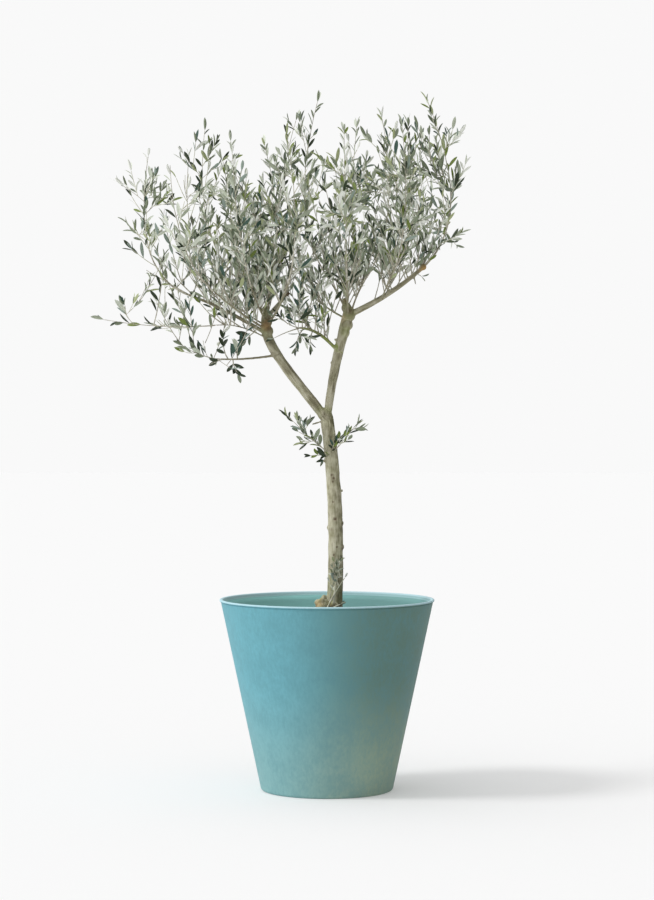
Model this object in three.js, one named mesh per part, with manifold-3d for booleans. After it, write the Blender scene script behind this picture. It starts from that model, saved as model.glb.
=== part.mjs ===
// A young olive tree in a tapered planter, as separate solids: pot, soil, trunk, boughs and leafy masses.
// Millimetres, +Z up, origin at the centre of the pot's flat underside, the tree's front towards -Y.

import * as THREE from 'three';
import { mergeVertices } from 'three/addons/utils/BufferGeometryUtils.js';
import Module from 'manifold-3d';

const wasm = await Module();
wasm.setup();

// Driving dimensions

const clearance = 0.3; // gap between neighbouring solids
const mergeTolerance = 1e-3;
const simplifyWithin = 0.02;

const pot = {
  rimDiameter: 550,
  baseDiameter: 337,
  height: 489,
  wall: 8,
  floor: 12,
  footRadius: 9, // rounding of the bottom edge
  footSteps: 3,
  lipHeight: 6, // rounded bead round the rim
  lipFlat: 2, // height of the bead's outermost band
  lipProud: 2, // how far the bead stands out from the wall
  bandHeight: 11, // paler band inside, under the lip
  ledge: 2.5, // step between that band and the inner wall
  sides: 48,
};

const soil = {
  level: 435,
  crown: 4, // how much higher the middle lies than the edge
  rings: 3,
  sides: 24,
};

const trunk = {
  base: [17, 0, soil.level + clearance],
  fork: [-3, 0, 972],
  bow: [27, 0, 6], // pull of its one slow bend away from the straight line
  baseRadius: 20.5,
  forkRadius: 16.6,
  flare: 9, // extra radius of the root flare, at the soil
  flareHeight: 16, // height over which the flare fades
  cutWidth: 200, // block that cuts its foot flat
  cutDepth: 60,
  sides: 10,
  steps: 11,
};

// Burrs on the trunk: height, direction round it in degrees (0 is +X, 270 the front), radius and how far
// out of the centre line they sit.
const burrs = [
  { z: 473, around: 196, radius: 21, out: 31 },
  { z: 465, around: 256, radius: 13, out: 19 },
  { z: 619, around: 350, radius: 7.5, out: 14.5 },
  { z: 668, around: 185, radius: 6, out: 15.5 },
  { z: 680, around: 12, radius: 6, out: 15 },
  { z: 858, around: 268, radius: 8.5, out: 12.5 },
];

// The two main boughs grow on from the fork; the trunk keeps the first share of each as its crotch.
// foot, tip: ends of the centre line; bow: pull of the bend; radii: at foot and tip.
const mainBoughs = {
  left_bough: {
    foot: [-3, 0, 952],
    tip: [-154, -2, 1216],
    bow: [-85, 0, 66],
    pull: 0.92,
    radii: [12.4, 13],
    inTrunk: 0.16,
  },
  right_bough: {
    foot: [0, 0, 948],
    tip: [58, 0, 1230],
    bow: [-13, 4, -8],
    pull: 0.76,
    radii: [9.8, 14.6],
    inTrunk: 0.2,
  },
};

// Side boughs, in the order they are cut clear of each other.
// on, at: the limb that carries it and the share of that limb's length; aside: its foot's shift off the
// centre line there.
const sideBoughs = {
  left_outer_bough: {
    on: 'left_bough', at: 0.84, tip: [-353, -26, 1266], bow: [-6, -6, 16], radii: [7.4, 4.4],
  },
  left_front_bough: {
    on: 'left_bough', at: 0.88, tip: [-284, -118, 1270], bow: [0, -14, -10], radii: [6, 3.8],
  },
  left_rear_bough: {
    on: 'left_bough', at: 0.91, tip: [-282, 120, 1280], bow: [0, 14, -10], radii: [6, 3.8],
  },
  left_low_bough: {
    on: 'left_bough', at: 0.79, tip: [-283, -40, 1196], bow: [-2, -6, 26], radii: [4.2, 2.8],
  },
  hanging_bough: { on: 'left_bough', at: 0.65, tip: [-272, -30, 1102], bow: [-6, -6, -8], radii: [4.4, 3] },
  middle_front_bough: {
    on: 'left_bough', at: 0.945, tip: [-190, -122, 1282], bow: [0, -12, -14], radii: [5, 3.6],
  },
  middle_rear_bough: {
    on: 'left_bough', at: 0.95, tip: [-188, 124, 1290], bow: [0, 12, -14], radii: [5, 3.6],
  },
  centre_front_bough: {
    on: 'left_bough', at: 0.91, tip: [-98, -122, 1290], bow: [8, -10, -16], radii: [5.6, 3.8],
  },
  left_top_bough: {
    on: 'left_bough', at: 0.97, aside: [-5, 2, 0],
    tip: [-222, 34, 1302], bow: [8, 4, 14], radii: [4.8, 3.6],
  },
  middle_bough: {
    on: 'left_bough', at: 0.97, aside: [5, -2, 0],
    tip: [-140, -34, 1304], bow: [-6, -4, 6], radii: [4.8, 3.6],
  },
  right_arm: { on: 'right_bough', at: 0.945, tip: [246, 6, 1338], bow: [12, 0, -14], radii: [9, 5.6] },
  cross_bough: {
    on: 'right_bough', at: 0.61, tip: [-72, -22, 1182], bow: [-2, -4, 27], pull: 0.8, radii: [5.4, 3.6],
  },
  right_front_bough: {
    on: 'right_bough', at: 0.945, tip: [50, -124, 1298], bow: [0, -14, -14], radii: [5.6, 3.8],
  },
  right_rear_bough: {
    on: 'right_bough', at: 0.945, tip: [54, 126, 1304], bow: [0, 14, -14], radii: [5.6, 3.8],
  },
  centre_rear_bough: {
    on: 'right_bough', at: 0.91, tip: [-66, 122, 1296], bow: [-4, 14, -14], radii: [5.4, 3.8],
  },
  centre_bough: {
    on: 'right_bough', at: 0.975, aside: [-5, 2, 0], tip: [2, 32, 1312], bow: [0, 4, 8], radii: [5.8, 3.8],
  },
  right_middle_bough: {
    on: 'right_bough', at: 0.975, aside: [6, -2, 0],
    tip: [100, -34, 1308], bow: [-6, -4, 4], radii: [5.4, 3.8],
  },
  arm_front_bough: {
    on: 'right_arm', at: 0.42, tip: [172, -108, 1336], bow: [0, -12, -8], radii: [4.6, 3.4],
  },
  arm_rear_bough: {
    on: 'right_arm', at: 0.47, tip: [178, 112, 1342], bow: [0, 12, -8], radii: [4.6, 3.4],
  },
};

const boughSides = 6;
const boughSteps = 3;
const mainSides = 10;
const mainSteps = 7;

// The leafy masses. Each grows from the tip of its bough, or from a point on the trunk.
// top: highest tip; spread: how far its shoots reach to the side and to the back; fall: how much lower its
// rim hangs; shoots: how many besides the leader; size: of its leaves; tips: outermost tips it also reaches.
const masses = {
  left_outer: { bough: 'left_outer_bough', top: [-450, -34, 1642], spread: [80, 104], fall: 330, shoots: 6,
    size: 1, seed: 11, tips: [[-548, -20, 1562], [-534, 34, 1446]] },
  left_front: { bough: 'left_front_bough', top: [-392, -158, 1608], spread: [84, 92], fall: 330, shoots: 7,
    size: 1, seed: 12, tips: [] },
  left_rear: { bough: 'left_rear_bough', top: [-360, 168, 1660], spread: [86, 96], fall: 360, shoots: 7,
    size: 1, seed: 13, tips: [] },
  left_low: { bough: 'left_low_bough', top: [-594, -62, 1238], spread: [30, 40], fall: 40, shoots: 3,
    size: 0.62, seed: 14, tips: [[-514, -52, 1400], [-470, -70, 1300]] },
  hanging: { bough: 'hanging_bough', top: [-474, -30, 1272], spread: [34, 40], fall: 90, shoots: 3,
    size: 0.6, seed: 15, tips: [[-226, -48, 1064], [-366, -28, 1168]] },
  left_top: { bough: 'left_top_bough', top: [-312, 66, 1718], spread: [80, 92], fall: 390, shoots: 7,
    size: 1, seed: 16, tips: [[-384, 40, 1650]] },
  middle: { bough: 'middle_bough', top: [-164, -72, 1664], spread: [80, 96], fall: 350, shoots: 7,
    size: 1, seed: 17, tips: [] },
  middle_front: { bough: 'middle_front_bough', top: [-236, -186, 1634], spread: [82, 94], fall: 340,
    shoots: 7, size: 1, seed: 18, tips: [] },
  middle_rear: { bough: 'middle_rear_bough', top: [-256, 196, 1704], spread: [84, 96], fall: 380,
    shoots: 7, size: 1, seed: 19, tips: [] },
  centre_front: { bough: 'centre_front_bough', top: [-104, -176, 1680], spread: [82, 94], fall: 380,
    shoots: 7, size: 1, seed: 20, tips: [] },
  lower_middle: { bough: 'cross_bough', top: [-138, -34, 1232], spread: [36, 36], fall: 50, shoots: 2,
    size: 0.62, seed: 21, tips: [[-24, -52, 1298], [-88, -62, 1306], [-44, -44, 1126], [14, -52, 1252]] },
  centre: { bough: 'centre_bough', top: [-18, 62, 1790], spread: [78, 92], fall: 430, shoots: 7,
    size: 1, seed: 22, tips: [[-74, 44, 1736]] },
  centre_rear: { bough: 'centre_rear_bough', top: [-74, 184, 1756], spread: [84, 96], fall: 430,
    shoots: 7, size: 1, seed: 23, tips: [] },
  right_middle: { bough: 'right_middle_bough', top: [134, -62, 1734], spread: [80, 94], fall: 390,
    shoots: 7, size: 1, seed: 24, tips: [] },
  right_front: { bough: 'right_front_bough', top: [42, -190, 1686], spread: [82, 94], fall: 380,
    shoots: 7, size: 1, seed: 25, tips: [] },
  right_rear: { bough: 'right_rear_bough', top: [80, 200, 1744], spread: [84, 96], fall: 410,
    shoots: 7, size: 1, seed: 26, tips: [] },
  right_outer: { bough: 'right_arm', top: [248, 30, 1786], spread: [82, 96], fall: 400, shoots: 7,
    size: 1, seed: 27, tips: [[338, 0, 1670], [358, -30, 1556], [334, 44, 1446]] },
  arm_front: { bough: 'arm_front_bough', top: [184, -168, 1706], spread: [84, 94], fall: 360, shoots: 7,
    size: 1, seed: 28, tips: [] },
  arm_rear: { bough: 'arm_rear_bough', top: [212, 172, 1744], spread: [84, 96], fall: 390, shoots: 7,
    size: 1, seed: 29, tips: [] },
  trunk_sprig_left: { root: [10, -8, 860], heading: [-0.75, -0.5, 0.5], top: [-118, -28, 976],
    spread: [30, 26], fall: 50, shoots: 1, size: 0.5, seed: 30, tips: [[-58, -34, 880]] },
  trunk_sprig_right: { root: [10, -6, 858], heading: [0.5, -0.6, 0.6], top: [92, -24, 956],
    spread: [26, 24], fall: 40, shoots: 1, size: 0.5, seed: 31, tips: [] },
  base_sprig: { root: [8, -14, 460], heading: [-0.1, -0.8, 0.6], top: [36, -44, 602],
    spread: [22, 18], fall: 60, shoots: 1, size: 0.5, seed: 32, tips: [] },
};

const twig = {
  sides: 3,
  steps: 2,
  leaderSteps: 4,
  tipRadius: 1.5,
  swell: 0.009, // radius gained for each millimetre of length
  thickest: 4.2,
  sprigRadius: 2.5, // foot of a sprig that stands on the trunk
  carried: 0.5, // a shoot's foot against the wood that carries it
  bend: 0.42, // share of its length over which a shoot keeps the direction it leaves in
  rise: 0.45, // how much of the climb to its tip is in that direction
  follow: 0.5, // how much of its carrier's direction is in it
  rootPlaces: 12, // places along a shoot that are tried as a root
  highestRoot: 0.72, // share of a shoot along which others may leave it
  openingCost: 1, // how much a wide fork counts against a near one
  bed: 5.2, // clear distance kept to every limb
};

// Where the tips of a mass stand. Their drop below its top is counted in shares of its fall.
const tipPlaces = {
  innermost: 0.9, // how far out the first tip stands, as a step of the spiral
  drop: 0.08,
  rimDrop: 0.5,
  randomDrop: 0.42,
  pulls: 8, // how often a stray tip is drawn in at most
  pull: 0.15, // share of its way to the axis each time
};

// A leaf here stands for a small spray, so it is larger than life.
const leaf = {
  length: 88,
  width: 22,
  thickness: 2.6,
  widest: 0.46, // share of the length at which it is widest
  keel: 0.16, // share at which it is thickest
  neck: 14, // distance from its root at which it has to be clear of the limbs
  variation: 0.16,
  angle: 0.62, // radians away from the twig
  angleVariation: 0.25,
  tilt: 0.2, // how far its upper face leans in to the twig
  turn: 2.4, // radians round the twig from one leaf to the next
  spacing: 46,
  fewest: 2, // on one shoot, besides the last
  reach: 0.97, // share of the last leaf that lies before the shoot's tip
  longestLast: 0.5, // share of a shoot that its last leaf may take
  firstOnLeader: 0.16, // share of the leader below which it is bare
  firstOnShoot: 0.2,
  bed: 4, // clear distance kept to every limb
  seedStep: 97, // between the streams of numbers of two masses
};

const space = {
  margin: 0.035, // share of a mass's width kept free along its border
  narrowest: 30,
  limbSamples: 24, // points of a limb from which distances are taken
  openEnd: 2, // how many of them are left out at the tip that carries the mass
};

// Helpers

const up = new THREE.Vector3(0, 0, 1);
const goldenAngle = Math.PI * (3 - Math.sqrt(5));

const vector = (xyz) => new THREE.Vector3(...xyz);

// A repeatable stream of numbers between 0 and 1.
function seeded(seed) {
  const range = 4294967296;
  let state = (seed * 2654435761) % range;
  return () => {
    state = (state * 1664525 + 1013904223) % range;
    return state / range;
  };
}

function solidFrom(geometry) {
  geometry.deleteAttribute('normal');
  geometry.deleteAttribute('uv');
  const merged = mergeVertices(geometry, mergeTolerance);
  return new wasm.Manifold(new wasm.Mesh({
    numProp: 3,
    vertProperties: merged.attributes.position.array,
    triVerts: new Uint32Array(merged.index.array),
  }));
}

function geometryFrom(solid) {
  const mesh = solid.getMesh();
  const geometry = new THREE.BufferGeometry();
  geometry.setAttribute('position', new THREE.BufferAttribute(mesh.vertProperties, 3));
  geometry.setIndex(new THREE.BufferAttribute(mesh.triVerts, 1));
  return geometry.toNonIndexed();
}

// The largest body of a solid, with loose scraps and sealed hollows left out.
function mainBody(solid) {
  return solid.decompose().reduce((best, body) => (body.volume() > best.volume() ? body : best));
}

// Two directions square to a path's own, for its sections.
function sectionAxes(tangent) {
  const reference = Math.abs(tangent.y) < 0.8 ? new THREE.Vector3(0, 1, 0) : up;
  const side = new THREE.Vector3().crossVectors(tangent, reference).normalize();
  const front = new THREE.Vector3().crossVectors(side, tangent);
  return { side, front };
}

// A tapering limb: the rings of a cylinder are carried along its path and take the radius there.
function sweep(path, radiusAt, sides, steps, from = 0, to = 1) {
  const geometry = new THREE.CylinderGeometry(1, 1, 1, sides, steps);
  const position = geometry.attributes.position;
  for (let i = 0; i < position.count; i++) {
    const t = from + (to - from) * (position.getY(i) + 0.5);
    const { side, front } = sectionAxes(path.getTangentAt(t));
    const point = path.getPointAt(t)
      .addScaledVector(side, position.getX(i) * radiusAt(t))
      .addScaledVector(front, position.getZ(i) * radiusAt(t));
    position.setXYZ(i, point.x, point.y, point.z);
  }
  return solidFrom(geometry);
}

// A path that runs towards its bend and then on to its tip; the harder the pull, the sharper the bend.
function bowedPath(foot, tip, bow, pull = 2 / 3) {
  const bend = foot.clone().lerp(tip, 0.5).add(vector(bow));
  return new THREE.CubicBezierCurve3(foot, foot.clone().lerp(bend, pull), tip.clone().lerp(bend, pull), tip);
}

const taper = (radii) => (t) => radii[0] + (radii[1] - radii[0]) * t;

// A profile of radius and height, turned round the Z axis.
function turned(profile, sides) {
  const points = profile.map(([radius, z]) => new THREE.Vector2(radius, z));
  return solidFrom(new THREE.LatheGeometry(points, sides).rotateX(Math.PI / 2));
}

// Pot and soil

// The wall leans out evenly from the foot to the rim.
const topRadius = pot.rimDiameter / 2 - pot.lipProud;
const footRadius = pot.baseDiameter / 2;
const wallRadius = (z) => footRadius + (topRadius - footRadius) * (z / pot.height);
const lean = Math.atan2(topRadius - footRadius, pot.height);
const innerRadius = (z) => wallRadius(z) - pot.wall / Math.cos(lean);

function makePot() {
  const lipMiddle = pot.height - pot.lipHeight / 2;
  const bandFoot = pot.height - pot.lipHeight - pot.bandHeight;
  const profile = [[0, 0]];
  for (let i = 0; i <= pot.footSteps; i++) {
    const turn = (i / pot.footSteps) * (Math.PI / 2);
    profile.push([
      footRadius - pot.footRadius * (1 - Math.sin(turn)),
      pot.footRadius * (1 - Math.cos(turn)),
    ]);
  }
  profile.push(
    [wallRadius(pot.height - pot.lipHeight), pot.height - pot.lipHeight],
    [pot.rimDiameter / 2, lipMiddle - pot.lipFlat / 2],
    [pot.rimDiameter / 2, lipMiddle + pot.lipFlat / 2],
    [topRadius, pot.height],
    [innerRadius(pot.height) + pot.ledge, pot.height],
    [innerRadius(bandFoot) + pot.ledge, bandFoot],
    [innerRadius(bandFoot), bandFoot - pot.ledge],
    [innerRadius(pot.floor), pot.floor],
    [0, pot.floor],
  );
  return turned(profile, pot.sides);
}

// The soil fills the pot to just under its rim and lies clear of wall and floor.
function makeSoil() {
  const soilRadius = (z) => innerRadius(z) - clearance / Math.cos(lean);
  const bottom = pot.floor + clearance;
  const edge = soil.level - soil.crown;
  const profile = [[0, bottom], [soilRadius(bottom), bottom]];
  for (let i = 0; i <= soil.rings; i++) {
    const inwards = i / soil.rings;
    profile.push([soilRadius(edge) * (1 - inwards), edge + soil.crown * Math.sin(inwards * Math.PI / 2)]);
  }
  return turned(profile, soil.sides);
}

// Trunk and boughs

const trunkPath = bowedPath(vector(trunk.base), vector(trunk.fork), trunk.bow);

function trunkRadius(t) {
  const height = trunkPath.getPoint(t).z - trunk.base[2];
  return trunk.baseRadius + (trunk.forkRadius - trunk.baseRadius) * t
    + trunk.flare * Math.exp(-height / trunk.flareHeight);
}

function makeBurr(burr, extra = 0) {
  const t = (burr.z - trunk.base[2]) / (trunk.fork[2] - trunk.base[2]);
  const around = THREE.MathUtils.degToRad(burr.around);
  const centre = trunkPath.getPoint(t);
  const geometry = new THREE.IcosahedronGeometry(burr.radius + extra);
  geometry.translate(
    centre.x + burr.out * Math.cos(around),
    centre.y + burr.out * Math.sin(around),
    burr.z,
  );
  return solidFrom(geometry);
}

// Each limb is kept as its path and radius, so that the rule below can keep clear of it.
const limbs = { trunk: { path: trunkPath, radiusAt: trunkRadius } };
for (const [name, bough] of Object.entries({ ...mainBoughs, ...sideBoughs })) {
  const foot = bough.on
    ? limbs[bough.on].path.getPointAt(bough.at).add(vector(bough.aside ?? [0, 0, 0]))
    : vector(bough.foot);
  const path = bowedPath(foot, vector(bough.tip), bough.bow, bough.pull);
  limbs[name] = { path, radiusAt: taper(bough.radii) };
}

// A limb's solid with all its sides moved out by the clearance, to cut its neighbours clear of it.
function thickened(name, sides, steps, from = 0) {
  const { path, radiusAt } = limbs[name];
  const grown = (t) => radiusAt(t) + clearance / Math.cos(Math.PI / sides);
  return sweep(path, grown, sides, steps, from);
}

function makeLimbs() {
  const solids = {};
  const crotches = Object.entries(mainBoughs).map(([name, bough]) => (
    sweep(limbs[name].path, limbs[name].radiusAt, mainSides, 2, 0, bough.inTrunk)));
  const post = sweep(trunkPath, trunkRadius, trunk.sides, trunk.steps);
  // Whatever the burrs reach below the trunk's flat cut is taken off again.
  const below = new THREE.BoxGeometry(trunk.cutWidth, trunk.cutWidth, trunk.cutDepth);
  below.translate(trunk.base[0], 0, trunk.base[2] - trunk.cutDepth / 2);
  solids.trunk = mainBody(wasm.Manifold.union([post, ...crotches, ...burrs.map((burr) => makeBurr(burr))])
    .subtract(solidFrom(below)));
  const cutters = [];
  for (const [name, bough] of Object.entries(mainBoughs)) {
    const { path, radiusAt } = limbs[name];
    const start = bough.inTrunk + clearance / path.getLength();
    solids[name] = sweep(path, radiusAt, mainSides, mainSteps, start);
    cutters.push(thickened(name, mainSides, mainSteps, start));
  }
  for (const name of Object.keys(sideBoughs)) {
    const { path, radiusAt } = limbs[name];
    const whole = sweep(path, radiusAt, boughSides, boughSteps);
    solids[name] = mainBody(whole.subtract(wasm.Manifold.union(cutters)));
    cutters.push(thickened(name, boughSides, boughSteps));
  }
  return solids;
}

// The growth rule

// Where a mass starts: 0.3 mm past its bough's tip, in the bough's own direction, or inside the trunk.
function startOf(mass) {
  if (!mass.bough) {
    return { foot: vector(mass.root), heading: vector(mass.heading).normalize(), radius: twig.sprigRadius };
  }
  const { path, radiusAt } = limbs[mass.bough];
  const heading = path.getTangent(1).normalize();
  return {
    foot: path.getPoint(1).addScaledVector(heading, clearance),
    heading,
    radius: radiusAt(1),
  };
}

// A mass's space is every point that lies nearer its own axis, counted in its own widths, than any other's.
const spaces = Object.entries(masses).map(([name, mass]) => ({
  name,
  axis: new THREE.Line3(startOf(mass).foot, vector(mass.top)),
  width: Math.max((mass.spread[0] + mass.spread[1]) / 2, space.narrowest),
}));

function widthsAway(point, room) {
  const nearest = room.axis.closestPointToPoint(point, true, new THREE.Vector3());
  return nearest.distanceTo(point) / room.width;
}

function isInside(point, own) {
  const inOwn = widthsAway(point, own) + space.margin;
  return spaces.every((other) => other === own || widthsAway(point, other) > inOwn);
}

function clearOfLimbs(point, room, own) {
  return Object.entries(limbs).every(([name, { path, radiusAt }]) => {
    // A stem may stand at the very end of its own bough.
    const last = space.limbSamples - (name === own ? space.openEnd : 0);
    for (let i = 0; i <= last; i++) {
      const t = i / space.limbSamples;
      if (path.getPoint(t).distanceTo(point) < radiusAt(t) + room) return false;
    }
    return true;
  });
}

// A shoot leaves its carrier sideways and turns up towards its tip.
function makeShoot(foot, lead, tip, steps, carrierRadius) {
  const length = foot.distanceTo(tip);
  const bend = foot.clone().addScaledVector(lead, length * twig.bend);
  const path = new THREE.QuadraticBezierCurve3(foot, bend, tip);
  const footRadius = Math.min(twig.tipRadius + twig.swell * length, twig.thickest, carrierRadius);
  return { path, length: path.getLength(), steps, radiusAt: taper([footRadius, twig.tipRadius]) };
}

// The best place on the wood so far from which a shoot can reach a tip: near it, and at a narrow fork.
function bestRoot(shoots, tip) {
  let best = { cost: Infinity };
  for (const shoot of shoots) {
    for (let i = 1; i <= twig.rootPlaces * twig.highestRoot; i++) {
      const t = i / twig.rootPlaces;
      const point = shoot.path.getPointAt(t);
      const reach = tip.clone().sub(point);
      const length = reach.length();
      const opening = 1 - reach.dot(shoot.path.getTangentAt(t)) / length;
      const cost = length * (1 + twig.openingCost * opening);
      if (cost < best.cost) best = { cost, shoot, t, point };
    }
  }
  return best;
}

function leadTowards(root, tip) {
  const reach = tip.clone().sub(root.point);
  const outward = new THREE.Vector3(reach.x, reach.y, reach.z * twig.rise).normalize();
  return outward.addScaledVector(root.shoot.path.getTangentAt(root.t), twig.follow).normalize();
}

// Tips stand like the seeds of a sunflower round the axis, the outer ones lower.
function tipsOf(mass, foot, draw) {
  const top = vector(mass.top);
  const phase = draw() * 2 * Math.PI;
  const tips = mass.tips.map(vector);
  for (let i = 0; i < mass.shoots; i++) {
    const ring = Math.sqrt((i + tipPlaces.innermost) / mass.shoots);
    const angle = phase + i * goldenAngle;
    const drop = tipPlaces.drop + tipPlaces.rimDrop * ring * ring + tipPlaces.randomDrop * draw();
    const along = 1 - mass.fall * drop / Math.max(top.z - foot.z, mass.fall);
    const tip = foot.clone().lerp(top, THREE.MathUtils.clamp(along, 0, 1));
    tip.x += mass.spread[0] * ring * Math.cos(angle);
    tip.y += mass.spread[1] * ring * Math.sin(angle);
    tips.push(tip);
  }
  return tips;
}

function growShoots(mass, own) {
  const draw = seeded(mass.seed);
  const { foot, heading, radius } = startOf(mass);
  const shoots = [makeShoot(foot, heading, vector(mass.top), twig.leaderSteps, radius)];
  for (const tip of tipsOf(mass, foot, draw)) {
    // A tip outside the mass's space is drawn in towards its axis.
    const onAxis = own.axis.closestPointToPoint(tip, true, new THREE.Vector3());
    for (let i = 0; i < tipPlaces.pulls && !isInside(tip, own); i++) tip.lerp(onAxis, tipPlaces.pull);
    const root = bestRoot(shoots, tip);
    const carrier = root.shoot.radiusAt(root.t) * twig.carried;
    const shoot = makeShoot(root.point, leadTowards(root, tip), tip, twig.steps, carrier);
    const stays = [0.25, 0.5, 0.75, 1].every((t) => {
      const point = shoot.path.getPoint(t);
      return isInside(point, own) && clearOfLimbs(point, twig.bed, mass.bough);
    });
    if (stays) shoots.push(shoot);
  }
  return shoots;
}

// One leaf: an octahedron drawn out to its length, widest near the middle and thickest near its root.
function makeLeaf(root, along, face, length) {
  const side = new THREE.Vector3().crossVectors(face, along).normalize();
  const normal = new THREE.Vector3().crossVectors(along, side);
  const geometry = new THREE.OctahedronGeometry(1);
  const position = geometry.attributes.position;
  const width = leaf.width * length / leaf.length;
  const place = (x, y, z) => {
    const run = (1 + x) / 2 + (leaf.widest - 0.5) * Math.abs(y) + (leaf.keel - 0.5) * Math.abs(z);
    return root.clone()
      .addScaledVector(along, run * length)
      .addScaledVector(side, y * width / 2)
      .addScaledVector(normal, z * leaf.thickness / 2);
  };
  for (let i = 0; i < position.count; i++) {
    const point = place(position.getX(i), position.getY(i), position.getZ(i));
    position.setXYZ(i, point.x, point.y, point.z);
  }
  const neck = root.clone().addScaledVector(along, leaf.neck);
  return { geometry, outline: [neck, place(0, 1, 0), place(0, -1, 0), place(1, 0, 0)] };
}

// The leaves of one shoot, and the share of its length at which its wood ends, inside the last leaf.
function growLeaves(shoot, index, mass, own) {
  const leaves = [];
  const draw = seeded(mass.seed * leaf.seedStep + index);
  const drawLength = () => leaf.length * mass.size * (1 + leaf.variation * (2 * draw() - 1));
  const lastLength = drawLength();
  const end = 1 - leaf.reach * Math.min(lastLength / shoot.length, leaf.longestLast);
  const first = index === 0 ? leaf.firstOnLeader : leaf.firstOnShoot;
  const room = shoot.length * (end - first);
  const count = Math.max(leaf.fewest, Math.round(room / (leaf.spacing * mass.size)));
  const phase = draw() * 2 * Math.PI;
  for (let k = 0; k <= count; k++) {
    const last = k === count;
    const length = last ? lastLength : drawLength();
    const angle = leaf.angle * (1 + leaf.angleVariation * (2 * draw() - 1));
    const t = first + (end - first) * (k / count);
    const tangent = shoot.path.getTangentAt(t);
    const { side, front } = sectionAxes(tangent);
    const round = phase + k * leaf.turn;
    const outward = side.multiplyScalar(Math.cos(round)).addScaledVector(front, Math.sin(round));
    const along = last
      ? tangent
      : tangent.clone().multiplyScalar(Math.cos(angle)).addScaledVector(outward, Math.sin(angle));
    const face = last ? outward : tangent.clone().addScaledVector(outward, -leaf.tilt).normalize();
    const root = shoot.path.getPointAt(t);
    const { geometry, outline } = makeLeaf(root, along, face, length);
    const stays = outline.every((point) => (
      isInside(point, own) && clearOfLimbs(point, leaf.bed, mass.bough)));
    if (stays) leaves.push(solidFrom(geometry));
  }
  return { leaves, woodEnd: Math.min(end + leaf.keel * lastLength / shoot.length, 1) };
}

function makeMass(name, trunkCutter) {
  const mass = masses[name];
  const own = spaces.find((room) => room.name === name);
  const pieces = growShoots(mass, own).flatMap((shoot, index) => {
    const { leaves, woodEnd } = growLeaves(shoot, index, mass, own);
    return [sweep(shoot.path, shoot.radiusAt, twig.sides, shoot.steps, 0, woodEnd), ...leaves];
  });
  const joined = wasm.Manifold.union(pieces).simplify(simplifyWithin);
  return mainBody(mass.bough ? joined : joined.subtract(trunkCutter));
}

// The finished plant

const finishes = {
  pot: { color: 0x74b2b8, roughness: 0.72 },
  soil: { color: 0x4a382a, roughness: 1 },
  bark: { color: 0x8c8269, roughness: 0.9 },
  foliage: { color: 0x7f8f74, roughness: 0.7 },
};

const tree = new THREE.Group();

function addPart(name, solid, finish) {
  const material = new THREE.MeshStandardMaterial({ ...finishes[finish], metalness: 0 });
  const mesh = new THREE.Mesh(geometryFrom(solid), material);
  mesh.name = name;
  tree.add(mesh);
}

addPart('pot', makePot(), 'pot');
addPart('soil', makeSoil(), 'soil');
for (const [name, solid] of Object.entries(makeLimbs())) addPart(name, solid, 'bark');
// A burr's faces lie nearer its middle than its corners do, so it is grown by twice the clearance.
const clearTrunk = thickened('trunk', trunk.sides, trunk.steps);
const clearBurrs = burrs.map((burr) => makeBurr(burr, 2 * clearance));
const trunkCutter = wasm.Manifold.union([clearTrunk, ...clearBurrs]);
for (const name of Object.keys(masses)) addPart(`${name}_foliage`, makeMass(name, trunkCutter), 'foliage');

export default tree;
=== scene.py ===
import math
import bpy
import numpy as np
from mathutils import Matrix, Vector, kdtree, noise


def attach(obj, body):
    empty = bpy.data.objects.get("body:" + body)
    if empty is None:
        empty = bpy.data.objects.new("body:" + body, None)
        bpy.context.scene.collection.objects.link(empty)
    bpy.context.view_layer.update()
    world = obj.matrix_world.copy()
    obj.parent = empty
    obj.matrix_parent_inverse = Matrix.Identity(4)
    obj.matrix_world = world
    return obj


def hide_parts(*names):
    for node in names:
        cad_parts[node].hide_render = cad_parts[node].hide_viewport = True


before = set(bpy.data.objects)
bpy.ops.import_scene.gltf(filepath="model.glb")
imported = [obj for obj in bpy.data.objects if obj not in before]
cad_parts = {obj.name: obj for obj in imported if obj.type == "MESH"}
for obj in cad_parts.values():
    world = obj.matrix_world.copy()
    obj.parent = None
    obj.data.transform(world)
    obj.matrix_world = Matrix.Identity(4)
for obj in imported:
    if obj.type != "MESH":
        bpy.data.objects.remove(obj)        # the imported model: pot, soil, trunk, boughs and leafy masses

noise.seed_set(7)        # or the waver of the stems would follow the clock
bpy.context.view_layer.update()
print("frame loaded,", len(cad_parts), "nodes")

# The limbs and the leafy masses follow the solids, in millimetres.
mm = 0.001
clearance = 0.3
soilLevel = 435
firstSeed = 11
fullTurn = 2 * math.pi
goldenAngle = math.pi * (3 - math.sqrt(5))

trunk = {"base": (17, 0, soilLevel + clearance), "fork": (-3, 0, 972), "bow": (27, 0, 6),
    "radii": (20.5, 16.6), "flare": 9, "flareHeight": 16}

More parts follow.
